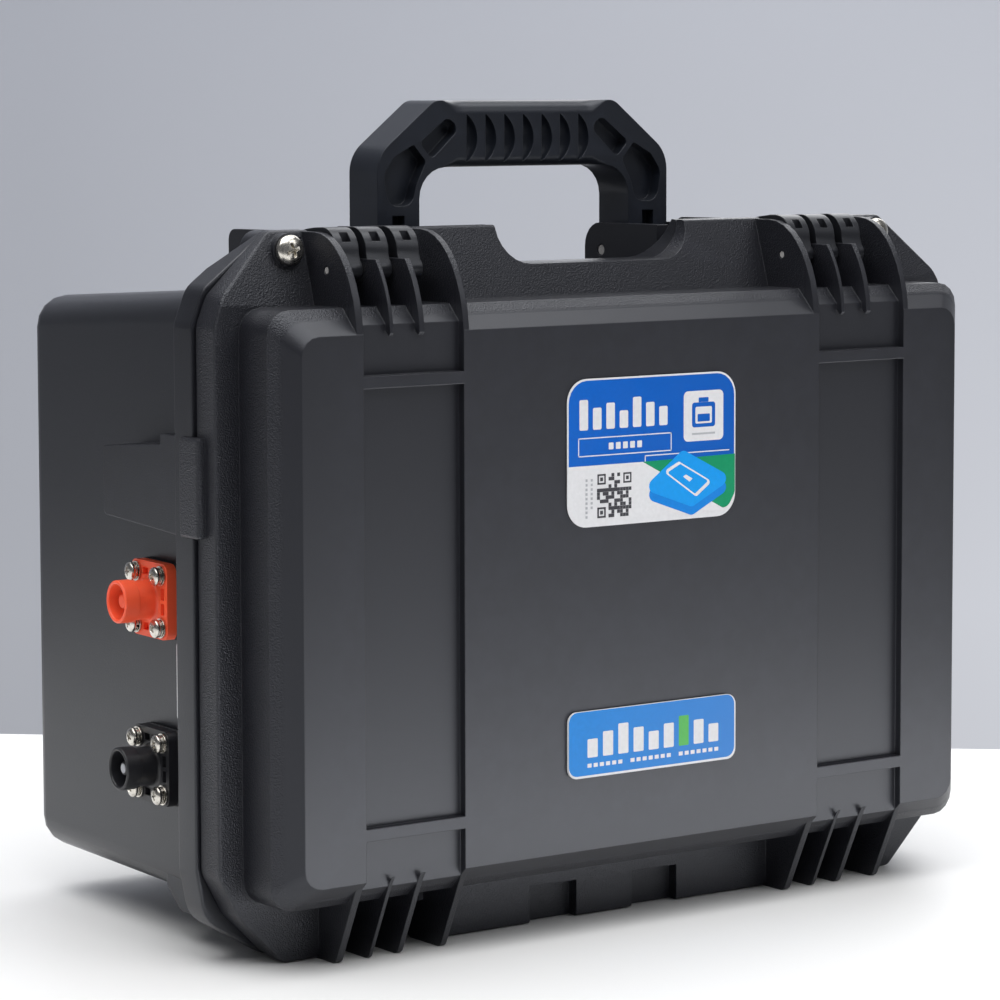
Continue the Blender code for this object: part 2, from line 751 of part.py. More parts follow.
def build_latch(side):
    """A plate that closes over the flanges, with three fingers down to barrels on the pin."""
    left_edge = BAY_LEFT_EDGES[side]
    ribs = bay_ribs(left_edge)
    low = ribs[0][1] + 0.0005
    high = ribs[2][1] + GAP + LATCH_FINGER_WIDTH
    underside = LATCH_TOP - LATCH_THICKNESS
    rise = LATCH_TOP - LATCH_ARCH[1]
    plate_outline = latch_arch(LATCH_REACH, rise)
    plate_outline += reversed(latch_arch(LATCH_REACH - LATCH_THICKNESS, rise - LATCH_THICKNESS))
    plate = prism(f"latch_{side}", plate_outline, "X", low, high)

    front = LATCH_AXIS[0] - LATCH_BARREL_RADIUS
    finger_outline = fillet(
        plain((front, LATCH_AXIS[1]), (0.0222, 0.3190))
        + [(0.0232, LATCH_TOP, 0.0110)]
        + plain((0.0350, LATCH_TOP), (0.0350, underside))
        + [(0.0290, underside, 0.0060)]
        + plain((0.0290, LATCH_AXIS[1])),
        segments=6,
    )
    fingers, windows = [], []
    for rib_low, rib_high in ribs[:3]:
        start = rib_high + GAP if rib_low > ribs[0][0] else low
        finger = (start, start + LATCH_FINGER_WIDTH)
        fingers.append(prism("latch_finger", finger_outline, "X", *finger))
        barrel_end = start + LATCH_BARREL_LENGTH
        fingers.append(rod("latch_barrel", "X", LATCH_AXIS, LATCH_BARREL_RADIUS, start, barrel_end, 20))
        window_low = (start + 0.0040, 0.0150, 0.3246)
        windows.append(box("latch_window", window_low, (start + 0.0086, 0.0270, 0.3288)))
    join(plate, fingers)
    bore_end = ribs[2][1] + LATCH_BARREL_LENGTH - 0.0015
    windows.append(
        rod("latch_bore", "X", LATCH_AXIS, LATCH_PIN_RADIUS + GAP, low - 0.0010, bore_end)
    )
    cut(plate, windows)
    merge_flat_faces(plate)
    return plate


def build_handle():
    """A flat-topped bail with slanted shoulders, pivoting between two pairs of ears."""
    half = HANDLE_THICKNESS / 2
    foot = HANDLE_AXIS[1] - half
    right = [
        (HANDLE_LEG_INSIDE, HANDLE_GRIP_UNDERSIDE, 0.0150),
        (HANDLE_LEG_INSIDE, foot, 0),
        (HANDLE_HALF_WIDTH, foot, 0),
        (HANDLE_HALF_WIDTH, 0.3610, 0.0170),
        (0.0535, HANDLE_TOP, 0.0090),
    ]
    mirrored = [(-x, z, radius) for x, z, radius in reversed(right)]
    outline = fillet(right + mirrored, segments=6)
    front = HANDLE_AXIS[0] - half
    handle = prism("handle", outline, "Y", front, front + HANDLE_THICKNESS)
    ends, bores = [], []
    for side in (-1, 1):
        low, high = sorted((side * HANDLE_LEG_INSIDE, side * HANDLE_HALF_WIDTH))
        for depth in (-1, 1):
            corner = (HANDLE_AXIS[0] + depth * half, foot)
            ends.append(corner_cutter(corner, depth, low - 0.0010, high + 0.0010))
        bores.append(
            rod("pin_bore", "X", HANDLE_AXIS, HANDLE_PIN_RADIUS + GAP, low - 0.0010, high + 0.0010)
        )
    cut(handle, ends + bores)
    merge_flat_faces(handle)
    return handle


def corner_cutter(corner, depth, low, high):
    """What a quarter round about the handle's axis leaves over at a corner of its foot."""
    half = HANDLE_THICKNESS / 2
    outline = [(corner[0] + depth * 0.0010, corner[1] - 0.0010)]
    for step in range(7):
        angle = math.radians(90) * step / 6
        outline.append(
            (HANDLE_AXIS[0] + depth * half * math.sin(angle), HANDLE_AXIS[1] - half * math.cos(angle))
        )
    outline.insert(1, (HANDLE_AXIS[0], corner[1] - 0.0010))
    outline.append((corner[0] + depth * 0.0010, HANDLE_AXIS[1]))
    return prism("foot_corner", outline, "X", low, high)


# ---------------------------------------------------------------- connectors and fasteners
def screw_offsets():
    half = CONNECTOR_SCREW_SPACING / 2
    return [(dy, dz) for dz in (half, -half) for dy in (-half, half)]


def wall_matrix(height, depth_offset=0.0, height_offset=0.0):
    """The frame of a part on the left wall: its Z points out of the wall."""
    place = Vector((-base_half_width(CONNECTOR_Y), CONNECTOR_Y, height))
    outward = Matrix.Rotation(math.atan(BASE_SIDE_DRAFT), 4, "Z")
    facing = Matrix.Rotation(math.radians(-90), 4, "Y")
    offset = Matrix.Translation((height_offset, depth_offset, 0))
    return Matrix.Translation(place) @ outward.inverted() @ facing @ offset


def square_plate(name, size, radius, low, high, matrix):
    outline = rounded_rectangle((-size / 2, -size / 2), (size / 2, size / 2), radius)
    plate = prism(name, outline, "Z", low, high)
    plate.matrix_world = matrix
    return plate


def build_connector(name, pole, height):
    """A panel socket: square flange, hollow barrel and a touch-proof post."""
    matrix = wall_matrix(height)
    housing = square_plate(name, CONNECTOR_FLANGE, 0.0045, 0.0023, 0.0073, matrix)
    outer, mouth, post, tip = CONNECTOR_BARREL_RADIUS, 0.0084, 0.0031, 0.0245
    barrel = turned(
        f"{pole}_barrel",
        [
            (0, 0.0200), (post - 0.0004, 0.0200), (post, 0.0196), (post, 0.0105), (mouth, 0.0105),
            (mouth, tip), (outer, tip), (outer, 0.0195), (outer - 0.0005, 0.0193),
            (outer - 0.0005, -0.0080), (0, -0.0080),
        ],
        matrix,
        20,
    )
    join(housing, [barrel])
    holes = [rod(f"{pole}_socket", "Z", (0, 0), 0.0052, -0.0100, 0.0060, 20)]
    for dy, dz in screw_offsets():
        holes.append(rod(f"{pole}_hole", "Z", (dz, dy), 0.0023, 0, 0.0090, 8))
    for hole in holes:
        hole.matrix_world = matrix
    cut(housing, holes)
    merge_flat_faces(housing)
    return housing


def build_connector_gasket(pole, height):
    matrix = wall_matrix(height)
    gasket = square_plate(f"connector_gasket_{pole}", 0.0356, 0.0045, GAP, 0.0020, matrix)
    holes = []
    for dy, dz in screw_offsets():
        holes.append(rod("gasket_hole", "Z", (dz, dy), 0.0023, -0.0010, 0.0040, 8))
    holes.append(rod("gasket_hole", "Z", (0, 0), 0.0110, -0.0010, 0.0040, 20))
    for hole in holes:
        hole.matrix_world = matrix
    cut(gasket, holes)
    merge_flat_faces(gasket)
    return gasket


def build_contact(pole, height):
    """The copper stud that carries the current through the wall to the cable inside."""
    profile = [(0, 0.0055), (0.0048, 0.0055), (0.0048, -0.0200), (0, -0.0200)]
    return turned(f"contact_{pole}", profile, wall_matrix(height), 20)


def build_connector_screw(name, height, offset):
    """An M4 pan-head screw with its spring washer and flat washer."""
    dy, dz = offset
    seat = 0.0076
    profile = [
        (0, seat + 0.0050), (0.0030, seat + 0.0044), (0.0041, seat + 0.0028), (0.0041, seat + 0.0009),
        (0.0046, seat + 0.0009), (0.0046, seat), (0.0019, seat), (0.0019, -0.0080), (0, -0.0080),
    ]
    return turned(name, profile, wall_matrix(height, dy, dz), 10)


def build_lock_bolt(side, sign):
    """An M6 pan-head bolt with a washer, screwed through both flanges."""
    seat = GAP
    profile = [
        (0, seat + 0.0052), (0.0045, seat + 0.0044), (0.0062, seat + 0.0022), (0.0062, seat + 0.0012),
        (0.0070, seat + 0.0012), (0.0070, seat), (BOLT_RADIUS, seat), (BOLT_RADIUS, -0.0235),
        (0, -0.0235),
    ]
    place = Matrix.Translation((sign * BOLT_X, BOLT_SEAT, BOLT_Z))
    return turned(f"lock_bolt_{side}", profile, place @ Matrix.Rotation(math.radians(90), 4, "X"), 16)


def build_bolt_insert(side, sign):
    hole = (sign * BOLT_X, BOLT_Z)
    insert = rod(f"bolt_insert_{side}", "Y", hole, 0.0055, 0.0520, 0.0666, 20)
    cut(insert, [rod("insert_bore", "Y", hole, BOLT_RADIUS + 0.0010, 0.0500, 0.0700, 20)])
    return insert


# ---------------------------------------------------------------- inside the case
def build_cell(index):
    width, depth, height = CELL_SIZE
    centre_x = CELL_STACK_CENTRE[0] + (index - 1.5) * CELL_PITCH
    low = (centre_x - width / 2, CELL_STACK_CENTRE[1] - depth / 2, CELL_FLOOR)
    high = (centre_x + width / 2, CELL_STACK_CENTRE[1] + depth / 2, CELL_FLOOR + height)
    cell = box(f"cell_{index + 1}", low, high, 0.0015)
    terminals = []
    for sign in (-1, 1):
        place = (centre_x, CELL_STACK_CENTRE[1] + sign * TERMINAL_SPACING / 2)
        terminals.append(
            rod("terminal", "Z", place, 0.0080, high[2] - 0.0010, high[2] + TERMINAL_HEIGHT, 16)
        )
    join(cell, terminals)
    return cell


def cell_top():
    return CELL_FLOOR + CELL_SIZE[2] + TERMINAL_HEIGHT


def build_busbar(index):
    """A bar that joins one cell to the next, on alternate sides of the stack."""
    sign = 1 if index % 2 else -1
    centre_x = CELL_STACK_CENTRE[0] + (index - 1) * CELL_PITCH
    centre_y = CELL_STACK_CENTRE[1] + sign * TERMINAL_SPACING / 2
    half_length = CELL_PITCH / 2 + 0.0085
    outline = rounded_rectangle(
        (centre_x - half_length, centre_y - 0.0100), (centre_x + half_length, centre_y + 0.0100), 0.0030, 2
    )
    return prism(f"busbar_{index + 1}", outline, "Z", cell_top() + GAP, cell_top() + 0.0023)


def stack_side(sign):
    """The outer side of the cell stack."""
    return CELL_STACK_CENTRE[0] + sign * (1.5 * CELL_PITCH + CELL_SIZE[0] / 2)


def build_end_plate(name, sign):
    low, high = sorted((stack_side(sign) + sign * GAP, stack_side(sign) + sign * 0.0033))
    half_depth = CELL_SIZE[1] / 2
    centre = CELL_STACK_CENTRE[1]
    top = CELL_FLOOR + CELL_SIZE[2] - 0.0020
    return box(name, (low, centre - half_depth, CELL_FLOOR), (high, centre + half_depth, top), 0.0008)


def build_stack_band(name, low):
    """A steel strap around the cells and their end plates."""
    reach_x = (stack_side(1) - stack_side(-1)) / 2 + 0.0033
    reach_y = CELL_SIZE[1] / 2
    centre = Vector(CELL_STACK_CENTRE)

    def around(margin, radius):
        reach = Vector((reach_x + margin, reach_y + margin))
        return rounded_rectangle(centre - reach, centre + reach, radius, 2)

    band = prism(name, around(0.0012, 0.0014), "Z", low, low + 0.0160)
    cut(band, [prism(name + "_inside", around(GAP, 0.0006), "Z", low - 0.0010, low + 0.0170)])
    return band


def build_heatsink():
    """The battery management module's finned plate."""
    low_x = module_span()[1] + GAP
    low_z, high_z = MODULE_HEIGHTS
    plate = box("bms_heatsink", (low_x, 0.1050, low_z), (low_x + 0.0030, 0.2050, high_z))
    fins = []
    for index in range(7):
        depth = 0.1060 + index * 0.0160
        fins.append(box("fin", (low_x + 0.0020, depth, low_z), (low_x + 0.0140, depth + 0.0020, high_z)))
    join(plate, fins)
    return plate


def module_span():
    """The battery management module's sides: it is fixed to the right end plate."""
    low = stack_side(1) + 0.0036
    return low, low + 0.0236


# ---------------------------------------------------------------- assembly
def build_root_parts(root):
    finish(build_base(), "base_plastic", root)
    outline = rounded_rectangle((-0.0178, -0.0390), (0.0178, -0.0135), 0.0015, 2)
    label = prism("label_side", outline, "Z", GAP, 0.0008)
    label.matrix_world = wall_matrix(0.1228)
    finish(label, "label_white", root)
    for side, sign in (("left", -1), ("right", 1)):
        low, high = sorted((sign * 0.0500, sign * 0.0880))
        finish(box(f"rear_foot_{side}", (low, 0.1750, 0), (high, 0.2150, 0.0057), 0.0010), "rubber", root)
        low, high = sorted((sign * (EAR_SPANS[0][0] + GAP), sign * (EAR_SPANS[1][1] - GAP)))
        pin = rod(f"handle_pin_{side}", "X", HANDLE_AXIS, HANDLE_PIN_RADIUS, low, high)
        finish(pin, "steel", root)
        finish(build_bolt_insert(side, sign), "brass", root)
        left_edge = BAY_LEFT_EDGES[side]
        ends = (left_edge + 0.0004, left_edge + RIBS[3][1] - 0.0004)
        finish(rod(f"hinge_pin_{side}", "X", HINGE_AXIS, HINGE_PIN_RADIUS, *ends), "steel", root)

    housings = {"positive": "connector_red", "negative": "connector_black"}
    for pole, height in CONNECTOR_HEIGHTS.items():
        colour = housings[pole]
        finish(build_connector(f"connector_{pole}", pole, height), colour, root)
        finish(build_connector_gasket(pole, height), "rubber", root)
        finish(build_contact(pole, height), "copper", root)
        for number, offset in enumerate(screw_offsets(), start=1):
            name = f"connector_screw_{pole}_{number}"
            finish(build_connector_screw(name, height, offset), "steel", root)


def build_inside(root):
    for index in range(4):
        finish(build_cell(index), "cell_wrap", root)
    for index in range(3):
        finish(build_busbar(index), "copper", root)
    finish(build_end_plate("end_plate_left", -1), "aluminium", root)
    finish(build_end_plate("end_plate_right", 1), "aluminium", root)
    finish(build_stack_band("stack_band_lower", 0.0850), "steel", root)
    finish(build_stack_band("stack_band_upper", 0.1900), "steel", root)
    pad = box("stack_foam", (-0.0800, 0.0960, 0.0274), (0.1000, 0.2220, CELL_FLOOR - GAP))
    finish(pad, "foam", root)

    low_x, high_x = module_span()
    low_z, high_z = MODULE_HEIGHTS
    module = box("bms_module", (low_x, 0.1050, low_z), (high_x, 0.2050, high_z), 0.0015)
    finish(module, "module_case", root)
    finish(build_heatsink(), "aluminium", root)

    fuse_right = stack_side(-1) - 0.0036
    fuse = box("fuse", (fuse_right - 0.0300, 0.1400, 0.1500), (fuse_right, 0.1780, 0.1720), 0.0020)
    finish(fuse, "module_case", root)
    wire_up(root, fuse_right - 0.0300)


def wire_up(root, fuse_left):
    """Power leads inside the case: socket to fuse to first cell, and last cell to module to socket."""
    first_x = stack_side(-1) + CELL_SIZE[0] / 2
    last_x = stack_side(1) - CELL_SIZE[0] / 2
    side_y = CELL_STACK_CENTRE[1] + TERMINAL_SPACING / 2
    plug_x = -base_half_width(CONNECTOR_Y) + 0.0222
    high, low = CONNECTOR_HEIGHTS["positive"], CONNECTOR_HEIGHTS["negative"]
    lug_z = cell_top() + 0.0048
    fuse_x = fuse_left + 0.0150
    module_x = sum(module_span()) / 2
    module_top = MODULE_HEIGHTS[1]
    routes = {
        "lead_socket_fuse": [
            (plug_x, 0.1090, high), (-0.1600, 0.1090, high), (-0.1280, 0.1400, 0.1605),
            (fuse_left - 0.0110, 0.1590, 0.1610), (fuse_left - 0.0010, 0.1590, 0.1610),
        ],
        "lead_fuse_cell": [
            (fuse_x, 0.1590, 0.1732), (fuse_x, 0.1590, 0.1880), (-0.0850, 0.1750, 0.2130),
            (-0.0720, 0.1980, 0.2372), (-0.0580, side_y, lug_z), (first_x, side_y, lug_z),
        ],
        "lead_cell_module": [
            (last_x, side_y, lug_z), (0.0800, side_y, lug_z), (0.0950, 0.1900, 0.2272),
            (module_x, 0.1750, 0.2060), (module_x, 0.1750, module_top + 0.0060),
            (module_x, 0.1750, module_top + 0.0008),
        ],
        "lead_module_socket": [
            (module_x, 0.1040, 0.1300), (module_x, 0.0940, 0.1300), (0.0850, 0.0800, 0.1240),
            (0.0400, 0.0760, 0.1150), (-0.0500, 0.0760, 0.1020), (-0.1200, 0.0880, 0.0880),
            (-0.1600, 0.1090, low), (plug_x, 0.1090, low),
        ],
    }
    colours = ("cable_red", "cable_red", "cable_black", "cable_black")
    for (name, route), colour in zip(routes.items(), colours):
        finish(tube(name, route, 0.0040, samples=5 * (len(route) - 1)), colour, root)


def build_lid_parts(lid_axis):
    finish(build_lid(), "lid_plastic", lid_axis)
    finish(gasket_ring("lid_gasket", 0.0019, 0.0484, SEAM - GAP), "rubber", lid_axis)
    finish(box("lid_foam", (-0.1250, 0.0080, 0.0600), (0.1250, 0.0460, 0.2500)), "foam", lid_axis)
    upper = rounded_rectangle((-0.0479, 0.1911), (0.0512, 0.2597), 0.0110, 5)
    finish(prism("label_upper", upper, "Y", -0.0009, -GAP), "label_blue", lid_axis)
    lower = rounded_rectangle((-0.0479, 0.0745), (0.0512, 0.1056), 0.0050, 4)
    finish(prism("label_lower", lower, "Y", -0.0018, -GAP), "label_blue", lid_axis)
    for side, left_edge in BAY_LEFT_EDGES.items():
        end = left_edge + RIBS[2][1] + LATCH_BARREL_LENGTH - 0.0020
        pin = rod(f"latch_pin_{side}", "X", LATCH_AXIS, LATCH_PIN_RADIUS, left_edge + GAP, end)
        finish(pin, "steel", lid_axis)


def build_pack():
    root = axis_empty(PART_NAME, (0, 0, 0))
    lid_axis = axis_empty("lid_hinge_axis", (0, *HINGE_AXIS), root)
    handle_axis = axis_empty("handle_axis", (0, *HANDLE_AXIS), root)
    sides = (("left", -1), ("right", 1))
    latch_axes, bolt_axes = {}, {}
    for side, sign in sides:
        latch_place = (BAY_LEFT_EDGES[side], *LATCH_AXIS)
        latch_axes[side] = axis_empty(f"latch_axis_{side}", latch_place, lid_axis)
        bolt_axes[side] = axis_empty(f"bolt_axis_{side}", (sign * BOLT_X, BOLT_SEAT, BOLT_Z), lid_axis)

    build_root_parts(root)
    build_inside(root)
    build_lid_parts(lid_axis)
    finish(build_handle(), "handle_plastic", handle_axis)
    for side, sign in sides:
        finish(build_latch(side), "lid_plastic", latch_axes[side])
        finish(build_lock_bolt(side, sign), "steel", bolt_axes[side])
    root.location = (0, -ORIGIN_DEPTH, 0)


clear_scene()
parts = new_collection(PART_NAME)
cutters = new_collection("cutters")
materials = {
    "lid_plastic": make_material("lid_plastic", (0.045, 0.046, 0.050), 0.55),
    "base_plastic": make_material("base_plastic", (0.035, 0.036, 0.040), 0.60),
    "handle_plastic": make_material("handle_plastic", (0.012, 0.013, 0.017), 0.50),
    "rubber": make_material("rubber", (0.015, 0.015, 0.016), 0.80),
    "steel": make_material("steel", (0.62, 0.60, 0.56), 0.25, 1.0),
    "brass": make_material("brass", (0.60, 0.42, 0.16), 0.35, 1.0),
    "copper": make_material("copper", (0.72, 0.36, 0.20), 0.30, 1.0),
    "aluminium": make_material("aluminium", (0.60, 0.61, 0.63), 0.35, 1.0),
    "connector_red": make_material("connector_red", (0.72, 0.045, 0.015), 0.40),
    "connector_black": make_material("connector_black", (0.018, 0.018, 0.022), 0.40),
    "label_blue": make_material("label_blue", (0.010, 0.110, 0.450), 0.30),
    "label_white": make_material("label_white", (0.75, 0.75, 0.76), 0.40),
    "cell_wrap": make_material("cell_wrap", (0.030, 0.120, 0.420), 0.40),
    "module_case": make_material("module_case", (0.030, 0.030, 0.034), 0.55),
    "foam": make_material("foam", (0.060, 0.060, 0.065), 0.95),
    "cable_red": make_material("cable_red", (0.500, 0.020, 0.015), 0.45),
    "cable_black": make_material("cable_black", (0.015, 0.015, 0.017), 0.45),
}
build_pack()
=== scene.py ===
"""Looks for a battery pack in a rugged hard case: finishes, fine detail, floor, light and camera.

Lengths are in metres.  Most pieces are drawn in the case's own frame, where Y runs back from the
lid's face and Z up from the floor, and `case` turns a point of it into the frame's coordinates.
"""

import json
import math

import bmesh
import bpy
from mathutils import Matrix, Vector


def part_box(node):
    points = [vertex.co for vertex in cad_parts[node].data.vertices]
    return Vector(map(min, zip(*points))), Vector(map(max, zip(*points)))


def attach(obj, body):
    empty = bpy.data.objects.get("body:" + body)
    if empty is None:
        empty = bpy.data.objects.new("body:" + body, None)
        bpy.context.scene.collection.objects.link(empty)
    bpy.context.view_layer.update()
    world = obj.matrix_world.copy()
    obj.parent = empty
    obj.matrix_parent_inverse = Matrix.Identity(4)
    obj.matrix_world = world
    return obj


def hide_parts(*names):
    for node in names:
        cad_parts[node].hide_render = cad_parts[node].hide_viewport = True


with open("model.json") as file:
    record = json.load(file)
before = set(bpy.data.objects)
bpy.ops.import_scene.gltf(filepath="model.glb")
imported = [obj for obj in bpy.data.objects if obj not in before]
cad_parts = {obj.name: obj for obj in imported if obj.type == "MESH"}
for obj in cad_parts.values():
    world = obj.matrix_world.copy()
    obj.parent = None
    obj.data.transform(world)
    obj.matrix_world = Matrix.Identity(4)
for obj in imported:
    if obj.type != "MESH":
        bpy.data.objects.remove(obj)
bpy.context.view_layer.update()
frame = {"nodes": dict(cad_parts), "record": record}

CASE_Y = 0.0630  # from the lid's face to the frame's origin
WALL_LEAN = math.atan(0.0466)  # draft of the base's side walls
WELD_DISTANCE = 0.00001


def case(x, y, z):
    return Vector((x, y - CASE_Y, z))


# ---------------------------------------------------------------- shader helpers
class Shader:
    """A material's node tree, built one node at a time."""

    def __init__(self, name, material=None):
        self.material = material or bpy.data.materials.new(name)
        self.material.use_nodes = True
        self.tree = self.material.node_tree
        self.surface = self.tree.nodes["Principled BSDF"]
        self.coordinates = self.add("ShaderNodeTexCoord").outputs["Object"]

    def add(self, kind, inputs=None, **settings):
        node = self.tree.nodes.new(kind)
        for key, value in settings.items():
            setattr(node, key, value)
        for key, value in (inputs or {}).items():
            self.feed(node.inputs[key], value)
        return node

    def feed(self, socket, value):
        if isinstance(value, bpy.types.NodeSocket):
            self.tree.links.new(value, socket)
        elif isinstance(value, bpy.types.Node):
            self.tree.links.new(value.outputs[0], socket)
        else:
            socket.default_value = value

    def set(self, **values):
        for key, value in values.items():
            self.feed(self.surface.inputs[key.replace("_", " ")], value)

    def axis(self, name):
        """One of the coordinates, in metres."""
        return self.add("ShaderNodeSeparateXYZ", {"Vector": self.coordinates}).outputs[name]

    def stretched(self, scale):
        return self.add("ShaderNodeMapping", {"Vector": self.coordinates, "Scale": scale})

    def noise(self, scale, detail=2.0, vector=None, roughness=0.5):
        inputs = {"Vector": vector or self.coordinates, "Scale": scale, "Detail": detail}
        return self.add("ShaderNodeTexNoise", {**inputs, "Roughness": roughness}).outputs["Fac"]

    def cells(self, scale, feature="F1"):
        inputs = {"Vector": self.coordinates, "Scale": scale}
        return self.add("ShaderNodeTexVoronoi", inputs, feature=feature).outputs["Distance"]

    def remap(self, value, low, high, to_low=0.0, to_high=1.0):
        inputs = {"Value": value, "From Min": low, "From Max": high, "To Min": to_low, "To Max": to_high}
        return self.add("ShaderNodeMapRange", inputs).outputs["Result"]

    def mix(self, factor, first, second, blend="MIX"):
        node = self.add("ShaderNodeMix", data_type="RGBA", blend_type=blend)
        self.feed(node.inputs["Factor"], factor)
        self.feed(node.inputs["A"], first)
        self.feed(node.inputs["B"], second)
        return node.outputs["Result"]

    def math(self, operation, first, second=0.0):
        node = self.add("ShaderNodeMath", operation=operation)
        self.feed(node.inputs[0], first)
        self.feed(node.inputs[1], second)
        return node.outputs[0]

    def edges(self):
        """1 along sharp edges, where paler wear and a painted highlight go, and 0 on flats."""
        return self.remap(self.add("ShaderNodeNewGeometry").outputs["Pointiness"], 0.52, 0.60)

    def bump(self, height, strength, distance, normal=None):
        inputs = {"Height": height, "Strength": strength, "Distance": distance}
        if normal is not None:
            inputs["Normal"] = normal
        return self.add("ShaderNodeBump", inputs).outputs["Normal"]


FACE_EDGE = (0.0062, 0.0078)  # depths between which the lid's polished face turns grained
SHADED_EDGE = 0.0007
LABEL_HALF_WIDTH = 0.05
TERMINAL_RISE = 0.0058


def colour(red, green, blue):
    return (red, green, blue, 1.0)


def scaled(shade, factor):
    return tuple(min(channel * factor, 1.0) for channel in shade[:3]) + (1.0,)


def moulded(name, shade, roughness, leather=0.0, smooth_face=False, edge_wear_and_highlight=0.30):
    """Injection-moulded plastic: fine spark-eroded grain, dust specks, scuffs, and paler edges that are
    part wear and part painted highlight.

    leather is the depth of a coarser wrinkled grain.  With smooth_face that grain nearly stops at
    the lid's flat face, where the mould is polished.
    """
    s = Shader(name)
    grainy = 1.0
    if smooth_face:
        grainy = s.remap(s.axis("Y"), FACE_EDGE[0] - CASE_Y, FACE_EDGE[1] - CASE_Y, 0.10, 1.0)
    mottle = s.remap(s.noise(7.0, 3.0), 0.3, 0.7)
    body = s.mix(mottle, scaled(shade, 0.985), scaled(shade, 1.015))
    speck = s.remap(s.noise(700.0, 1.0), 0.78, 0.83)
    body = s.mix(s.math("MULTIPLY", speck, 0.15), body, scaled(shade, 4.0))
    # Paler sharp edges: partly rubbed wear, partly a painted highlight where the edges would catch the
    # light.
    worn_and_lit_edges = s.math("MULTIPLY", s.edges(), s.remap(s.noise(120.0, 3.0), 0.35, 0.75, 0.2 * edge_wear_and_highlight, edge_wear_and_highlight))
    body = s.mix(worn_and_lit_edges, body, scaled(shade, 2.6))
    streaks = s.noise(16.0, 6.0, s.stretched((1.0, 1.0, 4.0)), 0.7)
    rough = s.remap(streaks, 0.4, 0.8, roughness - 0.005, roughness + 0.015)
    rounded = s.add("ShaderNodeBevel", {"Radius": SHADED_EDGE}, samples=4)
    fine = s.bump(s.noise(2600.0, 2.0), 0.35, 0.00003, rounded)
    if leather:
        wrinkles = s.cells(1500.0, "SMOOTH_F1")
        veins = s.noise(1300.0, 3.0, roughness=0.65)
        height = s.math("ADD", s.math("MULTIPLY", wrinkles, 0.9), veins)
        height = s.math("MULTIPLY", height, grainy)
        fine = s.bump(height, 0.8, leather, fine)
        rough = s.math("SUBTRACT", rough, s.math("MULTIPLY", grainy, 0.06))
    s.set(Base_Color=body, Roughness=rough, Normal=fine)
    s.set(Specular_IOR_Level=0.54, Specular_Tint=colour(0.90, 0.93, 1.0))
    return s.material


def metal(name, shade, roughness, scratch=(1.0, 1.0, 30.0)):
    """Plated or machined metal: brushed streaks, cloudy patches and duller low spots."""
    s = Shader(name)
    streaks = s.noise(260.0, 3.0, s.stretched(scratch))
    clouds = s.remap(s.noise(300.0, 3.0), 0.3, 0.7)
    body = s.mix(clouds, scaled(shade, 0.80), scaled(shade, 1.06))
    rough = s.remap(streaks, 0.3, 0.7, roughness - 0.06, roughness + 0.10)
    s.set(Base_Color=body, Metallic=1.0, Roughness=rough, Normal=s.bump(streaks, 0.2, 0.00004))
    return s.material


def glossy(name, shade, roughness, glow=0.0):
    """Smooth plastic with a slight orange peel; glow is how much light passes through it."""
    s = Shader(name)
    clouds = s.remap(s.noise(60.0, 3.0), 0.3, 0.7)
    body = s.mix(clouds, scaled(shade, 0.96), scaled(shade, 1.04))
    # Paler sharp edges: partly wear, partly a painted highlight.
    worn_and_lit_edges = s.math("MULTIPLY", s.edges(), 0.25)
    body = s.mix(worn_and_lit_edges, body, scaled(shade, 1.6))
    rough = s.remap(s.noise(220.0, 4.0), 0.3, 0.7, roughness - 0.04, roughness + 0.05)
    s.set(Base_Color=body, Roughness=rough, Normal=s.bump(s.noise(1400.0, 2.0), 0.3, 0.00002))
    s.set(Subsurface_Weight=glow, Subsurface_Scale=0.002)
    return s.material


def printed(name, shade, faded=None):
    """Ink on a laminated label, which may fade to a second colour from left to right."""
    s = Shader(name)
    body = s.mix(s.remap(s.noise(500.0, 2.0), 0.3, 0.7), scaled(shade, 0.97), scaled(shade, 1.03))
    if faded:
        body = s.mix(s.remap(s.axis("X"), -LABEL_HALF_WIDTH, LABEL_HALF_WIDTH), body, faded)
    rough = s.remap(s.noise(90.0, 4.0), 0.35, 0.7, 0.34, 0.44)
    s.set(Base_Color=body, Roughness=rough, Normal=s.bump(s.noise(60.0, 2.0), 0.15, 0.0001))
    s.set(Specular_IOR_Level=0.22)
    return s.material


def foam_material(name, shade):
    """Closed-cell foam: tiny open pores, painted darker in their hollows as shade, over a soft matt body.
    """
    s = Shader(name)
    pores = s.cells(900.0)
    # Darker towards each pore's hollow: painted shade.
    body = s.mix(s.remap(pores, 0.0, 0.5), scaled(shade, 0.45), scaled(shade, 1.25))
    s.set(Base_Color=body, Roughness=0.95, Normal=s.bump(pores, 0.8, 0.0004), Sheen_Weight=0.2)
    return s.material


def cell_material(name, shade, top):
    """A cell in its blue sleeve, with bare aluminium terminals above the sleeve's top."""
    s = Shader(name)
    bare = s.remap(s.axis("Z"), top, top + 0.0002)
    sleeve = s.mix(s.remap(s.noise(30.0, 4.0), 0.3, 0.7), scaled(shade, 0.85), scaled(shade, 1.1))
    wrinkles = s.noise(140.0, 3.0, s.stretched((1.0, 1.0, 0.15)))
    s.set(
        Base_Color=s.mix(bare, sleeve, colour(0.66, 0.67, 0.69)),
        Metallic=bare,
        Roughness=s.remap(wrinkles, 0.3, 0.7, 0.24, 0.38),
        Normal=s.bump(wrinkles, 0.35, 0.0002),
    )
    return s.material


